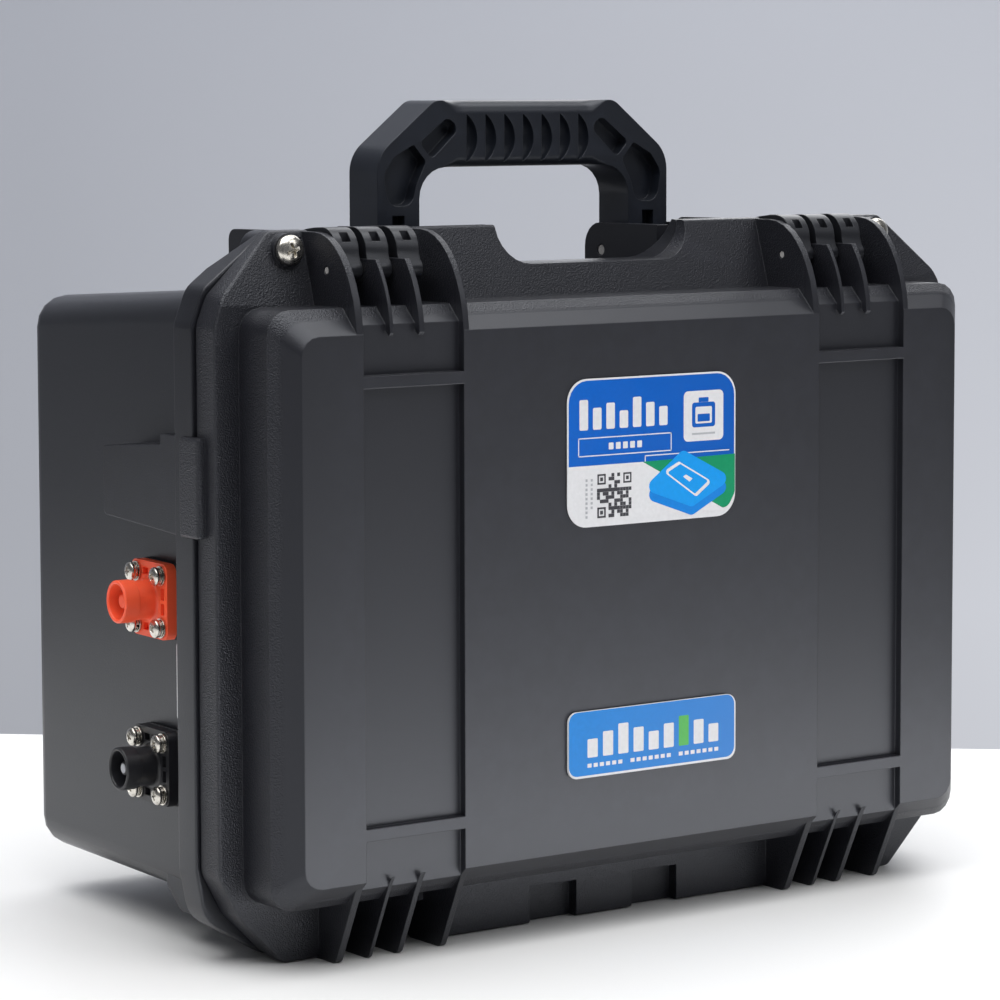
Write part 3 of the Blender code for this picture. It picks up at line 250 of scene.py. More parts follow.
sleeve_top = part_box("cell_1")[1].z - TERMINAL_RISE
finishes = {
    "lid_plastic": moulded("lid_finish", colour(0.0110, 0.0113, 0.0150), 0.40, 0.00030, smooth_face=True),
    # The base's plastic is a touch darker than the lid's: painted shade, for its left wall that faces away
    # from the lamps.
    "base_plastic": moulded("base_finish", colour(0.0100, 0.0104, 0.0135), 0.38, 0.00005),
    "handle_plastic": moulded("handle_finish", colour(0.0090, 0.0110, 0.0165), 0.40, 0.00004),
    "rubber": moulded("rubber_finish", colour(0.014, 0.014, 0.015), 0.72, 0.00006),
    "steel": metal("steel_finish", colour(0.70, 0.67, 0.61), 0.22),
    "brass": metal("brass_finish", colour(0.62, 0.44, 0.18), 0.32),
    "copper": metal("copper_finish", colour(0.74, 0.38, 0.22), 0.28),
    "aluminium": metal("aluminium_finish", colour(0.62, 0.63, 0.65), 0.34),
    "connector_red": glossy("red_finish", colour(1.0, 0.115, 0.045), 0.42, glow=0.12),
    "connector_black": glossy("black_finish", colour(0.013, 0.013, 0.016), 0.40),
    "label_blue": printed("label_blue_finish", colour(0.006, 0.120, 0.500)),
    "label_white": printed("label_white_finish", colour(0.80, 0.80, 0.82)),
    "cell_wrap": cell_material("cell_finish", colour(0.020, 0.110, 0.420), sleeve_top),
    "module_case": moulded("module_finish", colour(0.024, 0.024, 0.028), 0.48, 0.00005),
    "foam": foam_material("foam_finish", colour(0.055, 0.056, 0.062)),
    "cable_red": glossy("cable_red_finish", colour(0.46, 0.018, 0.014), 0.42),
    "cable_black": glossy("cable_black_finish", colour(0.012, 0.012, 0.014), 0.42),
}
band_finish = metal("band_finish", colour(0.20, 0.20, 0.21), 0.46, (1.0, 1.0, 12.0))
plate_finish = metal("plate_finish", colour(0.30, 0.31, 0.32), 0.50)
pin_finish = glossy("pin_finish", colour(0.42, 0.41, 0.40), 0.45)
# The latch's edges are paler still: wear and a painted highlight.
latch_finish = moulded("latch_finish", colour(0.0095, 0.0100, 0.0125), 0.40, 0.00003, edge_wear_and_highlight=0.5)

# Nodes with a finish of their own, by the start of their names; the others take their slot's.
SPECIAL = {
    "latch_pin": pin_finish,
    "latch": latch_finish,
    "handle_pin": pin_finish,
    "stack_band": band_finish,
    "end_plate": plate_finish,
}

# The colours of the labels' prints; a label's slots follow this order.
inks = {
    "white": finishes["label_white"],
    "blue": printed("ink_blue", colour(0.000, 0.125, 0.580), colour(0.000, 0.105, 0.500)),
    "sky": printed("ink_sky", colour(0.012, 0.240, 0.700), colour(0.045, 0.230, 0.640)),
    "green": printed("ink_green", colour(0.004, 0.300, 0.130)),
    "leaf": printed("ink_leaf", colour(0.110, 0.480, 0.110)),
    "tile": printed("ink_tile", colour(0.004, 0.340, 0.900)),
    "tile_side": printed("ink_tile_side", colour(0.003, 0.235, 0.760)),
    "grey": printed("ink_grey", colour(0.060, 0.060, 0.070)),
    "pale": printed("ink_pale", colour(0.480, 0.490, 0.520)),
}


# ---------------------------------------------------------------- the carried-over nodes
def join_vertices(piece, distance):
    """Closes the edges that the mesh has split."""
    weld = piece.modifiers.new("weld", "WELD")
    weld.merge_threshold = distance


def round_edges(piece, bevel, segments, angle):
    """Rounds the edges sharper than the angle, in degrees, and shades the rest smoothly."""
    rounding = piece.modifiers.new("rounding", "BEVEL")
    rounding.width = bevel
    rounding.segments = segments
    rounding.limit_method = "ANGLE"
    rounding.angle_limit = math.radians(angle)
    rounding.use_clamp_overlap = True
    for polygon in piece.data.polygons:
        polygon.use_smooth = True
    shading = piece.modifiers.new("shading", "WEIGHTED_NORMAL")
    shading.keep_sharp = True


def dress_nodes():
    slots = {entry["node"]: entry["material_slot"] for entry in frame["record"]["subparts"]}
    for name, node in frame["nodes"].items():
        own = [finish for start, finish in SPECIAL.items() if name.startswith(start)]
        node.data.materials.clear()
        node.data.materials.append(own[0] if own else finishes[slots[name]])
        join_vertices(node, WELD_DISTANCE)
        round_edges(node, 0.0005, 2, 32)


# ---------------------------------------------------------------- mesh helpers
def fillet(corners, segments=4):
    """A closed outline through (a, b, radius) corners, each corner turned into an arc."""
    outline = []
    for index, (a, b, radius) in enumerate(corners):
        here = Vector((a, b))
        if radius == 0:
            outline.append(here)
            continue
        before = (Vector(corners[index - 1][:2]) - here).normalized()
        after = (Vector(corners[(index + 1) % len(corners)][:2]) - here).normalized()
        half_angle = before.angle(after) / 2
        centre = here + (before + after).normalized() * radius / math.sin(half_angle)
        start = here + before * radius / math.tan(half_angle) - centre
        sweep = math.copysign(math.pi - 2 * half_angle, before.angle_signed(after))
        for step in range(segments + 1):
            outline.append(centre + Matrix.Rotation(sweep * step / segments, 2) @ start)
    return outline


def rectangle(low, high, radius=0.0, segments=4):
    corners = ((low[0], low[1]), (high[0], low[1]), (high[0], high[1]), (low[0], high[1]))
    return fillet([(a, b, radius) for a, b in corners], segments)


def add_prism(bm, outline, low, high, place, material=0):
    """Adds a flat outline given thickness; place turns (across, up, out) into a point."""
    front = [bm.verts.new(place(a, b, high)) for a, b in outline]
    back = [bm.verts.new(place(a, b, low)) for a, b in outline]
    faces = [bm.faces.new(front), bm.faces.new(back[::-1])]
    for index in range(len(outline)):
        after = (index + 1) % len(outline)
        faces.append(bm.faces.new((front[after], front[index], back[index], back[after])))
    for face in faces:
        face.material_index = material


def add_turned(bm, profile, steps=48, material=0):
    """Adds a profile of (radius, height) points turned about Z."""
    rings = []
    for radius, height in profile:
        count = steps if radius > 1e-6 else 1
        angles = [math.tau * step / steps for step in range(count)]
        rings.append([bm.verts.new((radius * math.cos(a), radius * math.sin(a), height)) for a in angles])
    for near, far in zip(rings, rings[1:]):
        for step in range(steps):
            after = (step + 1) % steps
            corners = [near[step % len(near)], near[after % len(near)]]
            corners += [far[after % len(far)], far[step % len(far)]]
            face = bm.faces.new(dict.fromkeys(corners))
            face.material_index = material


def join_rings(bm, rings, closed=False):
    """Skins neighbouring rings of vertices; closed also joins the last ring to the first."""
    followers = rings[1:] + rings[:1] if closed else rings[1:]
    for near, far in zip(rings, followers):
        for index in range(len(near)):
            after = (index + 1) % len(near)
            bm.faces.new((near[index], near[after], far[after], far[index]))


def mesh_of(name, bm):
    """The finished mesh of a bmesh, which is freed."""
    bmesh.ops.recalc_face_normals(bm, faces=bm.faces)
    mesh = bpy.data.meshes.new(name)
    bm.to_mesh(mesh)
    bm.free()
    return mesh


def bmesh_of(mesh):
    bm = bmesh.new()
    bm.from_mesh(mesh)
    return bm


def take_in(bm, other):
    """Adds a second bmesh's faces to the first, and frees it."""
    mesh = mesh_of("joined", other)
    bm.from_mesh(mesh)
    bpy.data.meshes.remove(mesh)


def add_cube(bm, size, centre):
    made = bmesh.ops.create_cube(bm, size=1.0)["verts"]
    bmesh.ops.scale(bm, vec=size, verts=made)
    bmesh.ops.translate(bm, vec=centre, verts=made)
    return made


def carved(name, body, cutter):
    """The body's mesh with the cutter's taken out of it, by an exact Boolean."""
    target = bpy.data.objects.new(name, mesh_of(name, body))
    tool = bpy.data.objects.new(f"{name}_cutter", mesh_of(f"{name}_cutter", cutter))
    for made in (target, tool):
        bpy.context.scene.collection.objects.link(made)
    boolean = target.modifiers.new("cut", "BOOLEAN")
    boolean.operation = "DIFFERENCE"
    boolean.solver = "EXACT"
    boolean.use_self = True
    boolean.object = tool
    evaluated = target.evaluated_get(bpy.context.evaluated_depsgraph_get())
    mesh = bpy.data.meshes.new_from_object(evaluated)
    for made in (target, tool):
        bpy.data.objects.remove(made)
    return mesh


def add_piece(name, mesh, materials, body, replaced=(), matrix=None):
    """An object with this mesh that rides on a body and stands for the replaced nodes."""
    made = bpy.data.objects.new(name, mesh)
    bpy.context.scene.collection.objects.link(made)
    if not mesh.materials:
        for material in materials:
            mesh.materials.append(material)
    if matrix is not None:
        made.matrix_world = matrix
    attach(made, body)
    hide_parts(*replaced)
    return made


def arc(centre, radius, first, last, steps):
    """Points of an arc in a profile, from one angle to another in degrees."""
    points = []
    for step in range(steps + 1):
        angle = math.radians(first + (last - first) * step / steps)
        points.append((centre[0] + radius * math.cos(angle), centre[1] + radius * math.sin(angle)))
    return points


# ---------------------------------------------------------------- handle
HANDLE_FACES = ((0.0970, 1), (0.1210, -1))  # each face's y, and the way into the handle
HANDLE_TOP, GRIP_UNDERSIDE = 0.3870, 0.3553
POCKET_DEPTH, FOOT_HOLE_DEPTH = 0.0068, 0.0060
FOOT_HOLE_X, FOOT_HOLE_Z = (0.0710, 0.0780), (0.3255, 0.3326)
OVERCUT = 0.0010  # how far a cutter stands out of the surface it cuts
NOTCHES, FIRST_NOTCH, NOTCH_PITCH, NOTCH_HEIGHT = 7, -0.0350, 0.01110, 0.3690
NOTCH_RADIUS, NOTCH_DEPTH, NOTCH_CENTRE = 0.01365, 0.0078, 0.00735
GRIP_HALF_LENGTH, GRIP_FADE = 0.0485, 0.0085
TOP_ROUNDING, UNDERSIDE_ROUNDING = 0.0062, 0.0045

# Outlines in (x, z) of the left arm's two pockets, as corners with a radius.
ARM_POCKETS = (
    (
        (-0.0622, 0.3668, 0.0022), (-0.0460, 0.3790, 0.0035), (-0.0388, 0.3738, 0.0038),
        (-0.0552, 0.3592, 0.0028),
    ),
    (
        (-0.0656, 0.3662, 0.0015), (-0.0584, 0.3580, 0.0024), (-0.0642, 0.3470, 0.0100),
        (-0.0668, 0.3376, 0.0055), (-0.0800, 0.3370, 0.0062), (-0.0826, 0.3520, 0.0070),
        (-0.0765, 0.3605, 0.0050),
    ),
)


def pocket_cutter():
    """The pockets in both faces of each arm, and the small square hole at each foot."""
    cutter = bmesh.new()
    for side in (-1, 1):
        for face, inward in HANDLE_FACES:
            low, high = sorted((face - inward * OVERCUT, face + inward * POCKET_DEPTH))
            for pocket in ARM_POCKETS:
                outline = [(side * -x, z) for x, z in fillet(pocket, 5)]
                add_prism(cutter, outline, low, high, lambda a, b, c: case(a, c, b))
        near, far = sorted(side * x for x in FOOT_HOLE_X)
        front = HANDLE_FACES[0][0]
        low = case(near, front - OVERCUT, FOOT_HOLE_Z[0])
        high = case(far, front + FOOT_HOLE_DEPTH, FOOT_HOLE_Z[1])
        add_cube(cutter, high - low, (low + high) / 2)
    return cutter


def grip_cutter():
    """Thumbnail-shaped finger notches: round on one side, straight and deepest on the other."""
    cutter = bmesh.new()
    for face, inward in HANDLE_FACES:
        for index in range(NOTCHES):
            notch = bmesh.new()
            edge = inward * (FIRST_NOTCH + index * NOTCH_PITCH)
            bmesh.ops.create_uvsphere(notch, u_segments=48, v_segments=24, radius=1.0)
            bmesh.ops.scale(notch, vec=(NOTCH_RADIUS, NOTCH_DEPTH, NOTCH_RADIUS), verts=notch.verts)
            centre = case(edge - inward * NOTCH_CENTRE, face, NOTCH_HEIGHT)
            bmesh.ops.translate(notch, vec=centre, verts=notch.verts)
            everything = notch.verts[:] + notch.edges[:] + notch.faces[:]
            cut = bmesh.ops.bisect_plane(
                notch, geom=everything, plane_co=case(edge, face, 0), plane_no=(inward, 0, 0),
                clear_inner=True,
            )
            rim = [item for item in cut["geom_cut"] if isinstance(item, bmesh.types.BMEdge)]
            bmesh.ops.holes_fill(notch, edges=rim)
            take_in(cutter, notch)
    return cutter


def rounding_cutter():
    """What rounding the grip's four long edges takes away, fading out towards the arms."""
    cutter = bmesh.new()
    steps = 24
    stations = [-GRIP_HALF_LENGTH + 2 * GRIP_HALF_LENGTH * step / steps for step in range(steps + 1)]
    for face, inward in HANDLE_FACES:
        edges = ((HANDLE_TOP, -1, TOP_ROUNDING), (GRIP_UNDERSIDE, 1, UNDERSIDE_ROUNDING))
        for edge, upward, largest in edges:
            rings = []
            for x in stations:
                fade = min(max((GRIP_HALF_LENGTH - abs(x)) / GRIP_FADE, 0.0), 1.0)
                radius = 0.0004 + largest * fade * fade * (3 - 2 * fade)
                outline = [(-OVERCUT, -OVERCUT), (-OVERCUT, radius)]
                for step in range(9):
                    angle = math.radians(90) * step / 8
                    outline.append((radius * (1 - math.cos(angle)), radius * (1 - math.sin(angle))))
                outline.append((radius, -OVERCUT))
                ring = [case(x, face + inward * a, edge + upward * b) for a, b in outline]
                rings.append([cutter.verts.new(point) for point in ring])
            join_rings(cutter, rings)
            cutter.faces.new(rings[0])
            cutter.faces.new(rings[-1])
    return cutter


def build_handle():
    """The CAD handle with its pockets, rounded grip and finger notches cut, in that order."""
    body = bmesh_of(frame["nodes"]["handle"].data)
    bmesh.ops.remove_doubles(body, verts=body.verts, dist=WELD_DISTANCE)
    mesh = carved("handle_body", body, pocket_cutter())
    mesh = carved("handle_body", bmesh_of(mesh), rounding_cutter())
    mesh = carved("handle_body", bmesh_of(mesh), grip_cutter())
    mesh.materials.clear()
    finish = finishes["handle_plastic"]
    piece = add_piece("handle_body", mesh, [finish], "carry_handle", ["handle"])
    join_vertices(piece, 2 * WELD_DISTANCE)
    round_edges(piece, 0.0008, 3, 30)


# ---------------------------------------------------------------- screws
WASHER_RADIUS, WASHER_THICKNESS = 0.0046, 0.0008
HEAD_SEAT, SCREW_HEAD = 0.0022, 0.0028  # heights of the head's underside and of the head itself
BOLT_HEAD, BOLT_LENGTH = 0.0052, 0.0235
THREADS, FIRST_THREAD, THREAD_PITCH = 12, -0.0060, 0.0013


def cross_recess(width, length, depth, top):
    """A cutter for a cross-shaped drive: two crossed wedges, narrower at their foot."""
    cutter = bmesh.new()
    for turn in (0, 90):
        middle = top - depth / 2
        wedge = add_cube(cutter, (length, width, depth), (0, 0, middle + 0.0001))
        for vertex in wedge:
            if vertex.co.z < middle:
                vertex.co.x *= 0.45
                vertex.co.y *= 0.6
        bmesh.ops.rotate(cutter, matrix=Matrix.Rotation(math.radians(turn), 3, "Z"), verts=wedge)
    return cutter


def pan_head(radius, rim, height):
    """Profile of a domed screw head, from its crown to its underside."""
    crown = [(0.0, height)]
    crown += [
        (radius * math.sin(angle), rim + (height - rim) * math.cos(angle) ** 0.8)
        for angle in (math.radians(a) for a in (18, 36, 52, 66, 78, 86))
    ]
    return crown + [(radius, rim), (radius, rim * 0.45), (radius - 0.0003, 0.0), (0.0, 0.0)]


def screw_head(radius, rim, height, recess, turn):
    """A head with a cross recess of (width, length, depth), turned by an angle in degrees."""
    head = bmesh.new()
    add_turned(head, pan_head(radius, rim, height), 40)
    cutter = cross_recess(*recess, height)
    cutter.transform(Matrix.Rotation(math.radians(turn), 4, "Z"))
    return bmesh_of(carved("screw_head", head, cutter))


def washer_stack(shank, length, split_turn):
    """A flat washer, a split spring washer on it, and the shank, with the washers' seat at Z 0."""
    bm = bmesh.new()
    outer, inner, coil = WASHER_RADIUS, 0.0023, 0.0039
    flat = [(outer, 0.0001), (outer + 0.0001, 0.0004), (outer, WASHER_THICKNESS)]
    flat += [(shank, WASHER_THICKNESS), (shank, 0.0), (outer, 0.0)]
    add_turned(bm, [*flat, flat[0]], 40)
    steps, gap, thickness = 36, 0.16, 0.0010
    corners = ((inner, 0), (coil, 0), (coil + 0.0001, thickness / 2), (coil, thickness), (inner, thickness))
    rings = []
    for step in range(steps + 1):
        share = step / steps
        angle = math.radians(split_turn) + gap + (math.tau - 2 * gap) * share
        lift = 0.0009 + 0.0003 * share
        points = [(r * math.cos(angle), r * math.sin(angle), lift + z) for r, z in corners]
        rings.append([bm.verts.new(point) for point in points])
    join_rings(bm, rings)
    bm.faces.new(rings[0][::-1])
    bm.faces.new(rings[-1])
    add_turned(bm, [(0.0, HEAD_SEAT), (shank, HEAD_SEAT), (shank, -length), (0.0, -length)], 20)
    return bm


def outward_frame(node, outward):
    """A matrix at the outermost point of a node, with its Z pointing outward."""
    top = max((vertex.co for vertex in node.data.vertices), key=lambda point: point.dot(outward))
    return Matrix.Translation(top) @ outward.to_track_quat("Z", "Y").to_matrix().to_4x4()


def add_screw(name, node, bm, top, body, outward, bevel):
    """Puts a screw drawn along Z in the place of a node, its top at the node's outermost point."""
    bm.transform(Matrix.Translation((0, 0, -top)))
    place = outward_frame(frame["nodes"][node], outward)
    piece = add_piece(name, mesh_of(node, bm), [finishes["steel"]], body, [node], place)
    round_edges(piece, bevel, 2, 35)


def build_connector_screws():
    outward = Vector((-math.cos(WALL_LEAN), math.sin(WALL_LEAN), 0))
    for pole_index, pole in enumerate(("positive", "negative")):
        for number in range(1, 5):
            turn = 23 + 37 * number + 61 * pole_index
            bm = washer_stack(0.0019, 0.0150, turn * 2)
            head = screw_head(0.0043, 0.0010, SCREW_HEAD, (0.0011, 0.0046, 0.0016), turn)
            head.transform(Matrix.Translation((0, 0, HEAD_SEAT)))
            take_in(bm, head)
            node = f"connector_screw_{pole}_{number}"
            top = HEAD_SEAT + SCREW_HEAD
            add_screw(f"pan_screw_{pole}_{number}", node, bm, top, "base", outward, 0.00015)


def build_lock_bolts():
    for side, turn in (("left", 20), ("right", 64)):
        bm = screw_head(0.0069, 0.0016, BOLT_HEAD, (0.0016, 0.0074, 0.0026), turn)
        add_turned(bm, [(0.0, 0.0002), (0.0030, 0.0002), (0.0030, -BOLT_LENGTH), (0.0, -BOLT_LENGTH)], 24)
        for groove in range(THREADS):
            height = FIRST_THREAD - groove * THREAD_PITCH
            add_turned(bm, [(0.0028, height), (0.0033, height - 0.0005), (0.0028, height - 0.0010)], 24)
        outward = Vector((0, -1, 0))
        add_screw(f"pan_bolt_{side}", f"lock_bolt_{side}", bm, BOLT_HEAD, f"{side}_bolt", outward, 0.0002)


# ---------------------------------------------------------------- power sockets
SOCKET_FLANGE = 0.0350
FLANGE_BACK, FLANGE_FRONT = 0.0023, 0.0073
SOCKET_Y, POSITIVE_HEIGHT, NEGATIVE_HEIGHT = 0.1090, 0.1595, 0.0823
WALL_X, WALL_Y = 0.2006, 0.0510  # a point of the base's wall, from which it leans inwards


def wall_matrix(height):
    """A frame on the left wall: its Z points out of the wall and its X runs down it."""
    half_width = WALL_X - math.tan(WALL_LEAN) * (SOCKET_Y - WALL_Y)
    lean = Matrix.Rotation(-WALL_LEAN, 4, "Z")
    facing = Matrix.Rotation(math.radians(-90), 4, "Y")
    return Matrix.Translation(case(-half_width, SOCKET_Y, height)) @ lean @ facing


def socket_barrel():
    """Profile of the barrel: a wider collar at its mouth and a touch-proof post inside."""
    profile = [(0.0, 0.0216), (0.0024, 0.0216), *arc((0.0024, 0.0207), 0.0009, 90, 0, 4)]
    profile += [(0.0033, 0.0106), (0.0081, 0.0105)]
    profile += [(0.0081, 0.0237), *arc((0.0090, 0.0236), 0.0009, 180, 0, 8)]
    profile += [(0.0099, 0.0172), (0.0098, 0.0168), (0.0090, 0.0166), (0.0090, 0.0090)]
    profile += [*arc((0.0106, 0.0089), 0.0016, 180, 270, 4), (0.0106, 0.0068)]
    return profile + [(0.0092, 0.0066), (0.0092, -0.0078), (0.0, -0.0078)]


def build_socket(pole, height, tip=None):
    """A flange with notched sides and its barrel; tip is the material of the post's end, if any."""
    plate = bmesh.new()
    half = SOCKET_FLANGE / 2
    outline = rectangle((-half, -half), (half, half), 0.0045, 6)
    add_prism(plate, outline, FLANGE_BACK, FLANGE_FRONT, lambda a, b, c: (a, b, c))
    cutter = bmesh.new()
    for quarter in range(4):
        turn = Matrix.Rotation(math.radians(90) * quarter, 4, "Z")
        for low, high in ((-0.0062, -0.0008), (0.0008, 0.0062)):
            notch = add_cube(cutter, (high - low, 0.0034, 0.0040), ((low + high) / 2, 0.0128, 0.0070))
            bmesh.ops.transform(cutter, matrix=turn, verts=notch)
    bm = bmesh_of(carved("flange", plate, cutter))
    add_turned(bm, socket_barrel(), 64)
    if tip:
        add_turned(bm, [(0.0, 0.0218), (0.0022, 0.0218), (0.0023, 0.0214), (0.0, 0.0214)], 32, 1)
    name = f"socket_{pole}"
    slot = "connector_red" if pole == "positive" else "connector_black"
    materials = [finishes[slot], *([tip] if tip else [])]
    place = wall_matrix(height)
    piece = add_piece(name, mesh_of(name, bm), materials, "base", [f"connector_{pole}"], place)
    round_edges(piece, 0.0005, 3, 40)


# ---------------------------------------------------------------- printed labels
INK_LAYER = 0.00003
CODE_CELLS, CODE_LEFT, CODE_TOP, CODE_STEP = 12, 0.172, 0.645, (0.0168, 0.0250)


class Label:
    """A sticker on the lid, printed with plain shapes placed by shares of its width and height."""

    def __init__(self, name, node, radius, film, thickness):
        self.name, self.node = name, node
        low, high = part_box(node)
        self.low, self.size = low, high - low
        self.back = high.y
        self.bm = bmesh.new()
        self.inks = list(inks)
        self.level = thickness
        outline = rectangle((low.x, low.z), (high.x, high.z), radius, 10)
        add_prism(self.bm, outline, 0.0, thickness, self.place, self.inks.index(film))

    def place(self, a, b, out):
        return Vector((a, self.back - out, b))

    def at(self, u, v):
        """The point at a share u from the left and v from the top."""
        return (self.low.x + u * self.size.x, self.low.z + (1 - v) * self.size.z)

    def shape(self, corners, ink, layer=1):
        """Prints an outline of (u, v) or (u, v, radius) corners, on top of the layers below it."""
        points = [(*self.at(u, v), *(radius or [0])) for u, v, *radius in corners]
        bottom, top = self.level - 0.0001, self.level + INK_LAYER * layer
        add_prism(self.bm, fillet(points, 6), bottom, top, self.place, self.inks.index(ink))

    def block(self, left, top, right, bottom, ink, radius=0.0, layer=1):
        corners = ((left, top), (right, top), (right, bottom), (left, bottom))
        self.shape([(u, v, radius) for u, v in corners], ink, layer)

    def line(self, left, top, right, bottom, ink, width, layer=1):
        """A line along one side of the label, of a width in metres."""
        half_u, half_v = width / 2 / self.size.x, width / 2 / self.size.z
        self.block(left - half_u, top - half_v, right + half_u, bottom + half_v, ink, 0.0, layer)

    def frame(self, left, top, right, bottom, ink, width, layer=1):
        for here in (top, bottom):
            self.line(left, here, right, here, ink, width, layer)
        for here in (left, right):
            self.line(here, top, here, bottom, ink, width, layer)

    def apply(self):
        materials = [inks[ink] for ink in self.inks]
        add_piece(self.name, mesh_of(self.name, self.bm), materials, "lid", [self.node])


def build_upper_label():
    label = Label("label_upper_print", "label_upper", 0.0110, "white", 0.0004)
    label.shape([(0.008, 0.012, 0.0105), (0.992, 0.012, 0.0105), (0.992, 0.70), (0.008, 0.70)], "blue")
    label.shape([(0.0, 0.585), (0.455, 0.585), (0.455, 0.72), (0.0, 0.72)], "white", 2)
    label.shape([(0.440, 0.585), (0.997, 0.575), (0.997, 0.84, 0.004), (0.945, 0.965, 0.005)], "green", 3)
    label.shape([(0.440, 0.585), (0.945, 0.960), (0.300, 0.960), (0.300, 0.585)], "white", 4)
    label.line(0.455, 0.545, 0.960, 0.545, "white", 0.0005, 2)
    label.line(0.455, 0.545, 0.455, 0.585, "white", 0.0005, 2)

    # bars in a row, over a framed row of dots
    heights = (1.0, 0.72, 0.86, 0.58, 1.0, 0.80, 0.64)
    for index, height in enumerate(heights):
        left = 0.070 + index * 0.078
        label.block(left, 0.345 - 0.205 * height, left + 0.050, 0.345, "white", 0.0008, 2)
    label.frame(0.065, 0.400, 0.610, 0.520, "white", 0.0005, 2)
    for index in range(5):
        label.block(0.240 + index * 0.042, 0.438, 0.268 + index * 0.042, 0.484, "white", 0.0004, 2)

    # a battery on a white card
    label.block(0.685, 0.125, 0.925, 0.470, "white", 0.0025, 2)
    label.block(0.735, 0.205, 0.875, 0.375, "blue", 0.0014, 3)
    label.block(0.775, 0.172, 0.835, 0.204, "blue", 0.0004, 3)
    label.block(0.755, 0.235, 0.855, 0.350, "white", 0.0008, 4)
    label.block(0.768, 0.285, 0.842, 0.337, "blue", 0.0004, 5)
    label.line(0.740, 0.420, 0.870, 0.420, "pale", 0.0009, 3)

    # a block pattern that holds no code, and two columns of dots beside it
    for row in range(CODE_CELLS):
        for column in range(CODE_CELLS):
            in_eye = (row < 4 or row > 7) and column < 4 or row < 4 and column > 7
            if not in_eye and (row * column + 2 * row + column) % 5 in (0, 2, 3):
                left, top = CODE_LEFT + column * CODE_STEP[0], CODE_TOP + row * CODE_STEP[1]
                label.block(left, top, left + 0.0160, top + 0.0238, "grey", 0.0, 5)
    for left, top in ((CODE_LEFT, CODE_TOP), (CODE_LEFT, 0.870), (0.323, CODE_TOP)):
        label.frame(left + 0.006, top + 0.008, left + 0.046, top + 0.067, "grey", 0.0008, 5)
        label.block(left + 0.018, top + 0.025, left + 0.034, top + 0.050, "grey", 0.0, 5)
    for column, dots in ((0.105, 9), (0.135, 7)):
        for index in range(dots):
            top = 0.675 + index * 0.031
            label.block(column, top, column + 0.011, top + 0.017, "pale", 0.0, 5)

    # a slanted tile with a plain screen
    tile = ((0.438, 0.770), (0.680, 0.522), (0.985, 0.742), (0.735, 0.920))
    for drop, ink, layer in ((0.058, "tile_side", 6), (0.0, "tile", 7)):
        label.shape([(u, v + drop, 0.0034) for u, v in tile], ink, layer)
    screen = ((0.562, 0.662), (0.655, 0.600), (0.856, 0.755), (0.760, 0.852))
    label.shape([(u, v, 0.0016) for u, v in screen], "white", 8)
    middle = [sum(corner[axis] for corner in screen) / 4 for axis in (0, 1)]
    for share, ink, layer in ((0.84, "tile", 9), (0.20, "white", 10)):
        inner = [[m + share * (c - m) for m, c in zip(middle, corner)] for corner in screen]
        label.shape([(u, v, 0.0008 * share) for u, v in inner], ink, layer)
    label.apply()


def build_lower_label():
    label = Label("label_lower_print", "label_lower", 0.0050, "white", 0.0012)
    label.block(0.002, 0.004, 0.992, 0.965, "sky", 0.0048)
    tops = (0.420, 0.330, 0.240, 0.330, 0.420, 0.330, 0.240, 0.330, 0.420)
    for index, top in enumerate(tops):
        left = 0.110 + index * 0.0905
        label.block(left, top, left + 0.060, 0.700, "leaf" if index == 6 else "white", 0.0006, 2)
    for index in range(22):
        left = 0.110 + index * 0.0362
        if index not in (6, 14):
            label.block(left, 0.790, left + 0.0240, 0.850, "white", 0.0002, 2)
    label.apply()


# ---------------------------------------------------------------- soft parts
def smooth_noise(x, z, seed):
    """Slow, repeatable unevenness between -1 and 1."""
    return (
        math.sin(31.0 * x + 17.0 * z + seed)
        + math.sin(-23.0 * x + 41.0 * z + 2.3 * seed)
        + math.sin(53.0 * x - 11.0 * z + 0.7 * seed)
    ) / 3


def rim_distance(u, v, width, height):
    return min(u * width, (1 - u) * width, v * height, (1 - v) * height)


def add_pad(bm, columns, rows, surface):
    """A soft slab; surface(u, v, side) gives its points by shares along it, on side 0 or 1."""
    grids = []
    for side in (0, 1):
        grid = []
        for row in range(rows + 1):
            shares = [(column / columns, row / rows) for column in range(columns + 1)]
            grid.append([bm.verts.new(surface(u, v, side)) for u, v in shares])
        grids.append(grid)
    for side, grid in enumerate(grids):
        for this, following in zip(grid, grid[1:]):
            for column in range(columns):
                corners = [*this[column:column + 2], *following[column:column + 2][::-1]]
                bm.faces.new(corners if side else corners[::-1])
    rims = []
    for grid in grids:
        left, right = [line[0] for line in grid], [line[-1] for line in grid]
        rims.append(grid[0][:-1] + right[:-1] + grid[-1][:0:-1] + left[:0:-1])
    join_rings(bm, rims)


def build_lid_foam():
    """Egg-crate foam in the lid, its peaks towards the cells."""
    low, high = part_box("lid_foam")
    size = high - low
    pitch, height, rim_fall, rim_reach = 0.0210, 0.0130, 0.0040, 0.0030

    def surface(u, v, side):
        x, z = low.x + u * size.x, low.z + v * size.z
        if side == 0:
            return Vector((x, low.y, z))
        crown = math.sin(math.pi * x / pitch) ** 2 * math.sin(math.pi * z / pitch) ** 2
        fall = rim_fall * math.exp(-rim_distance(u, v, size.x, size.z) / rim_reach)
        depth = height * (1 - crown ** 0.8) + 0.0006 * (1 + smooth_noise(x, z, 1.7))
        return Vector((x, high.y - max(depth, 0.0) - fall, z))

    bm = bmesh.new()
    add_pad(bm, 108, 82, surface)
    mesh = mesh_of("lid_foam_pad", bm)
    piece = add_piece("lid_foam_pad", mesh, [finishes["foam"]], "lid", ["lid_foam"])
    round_edges(piece, 0.0006, 2, 60)


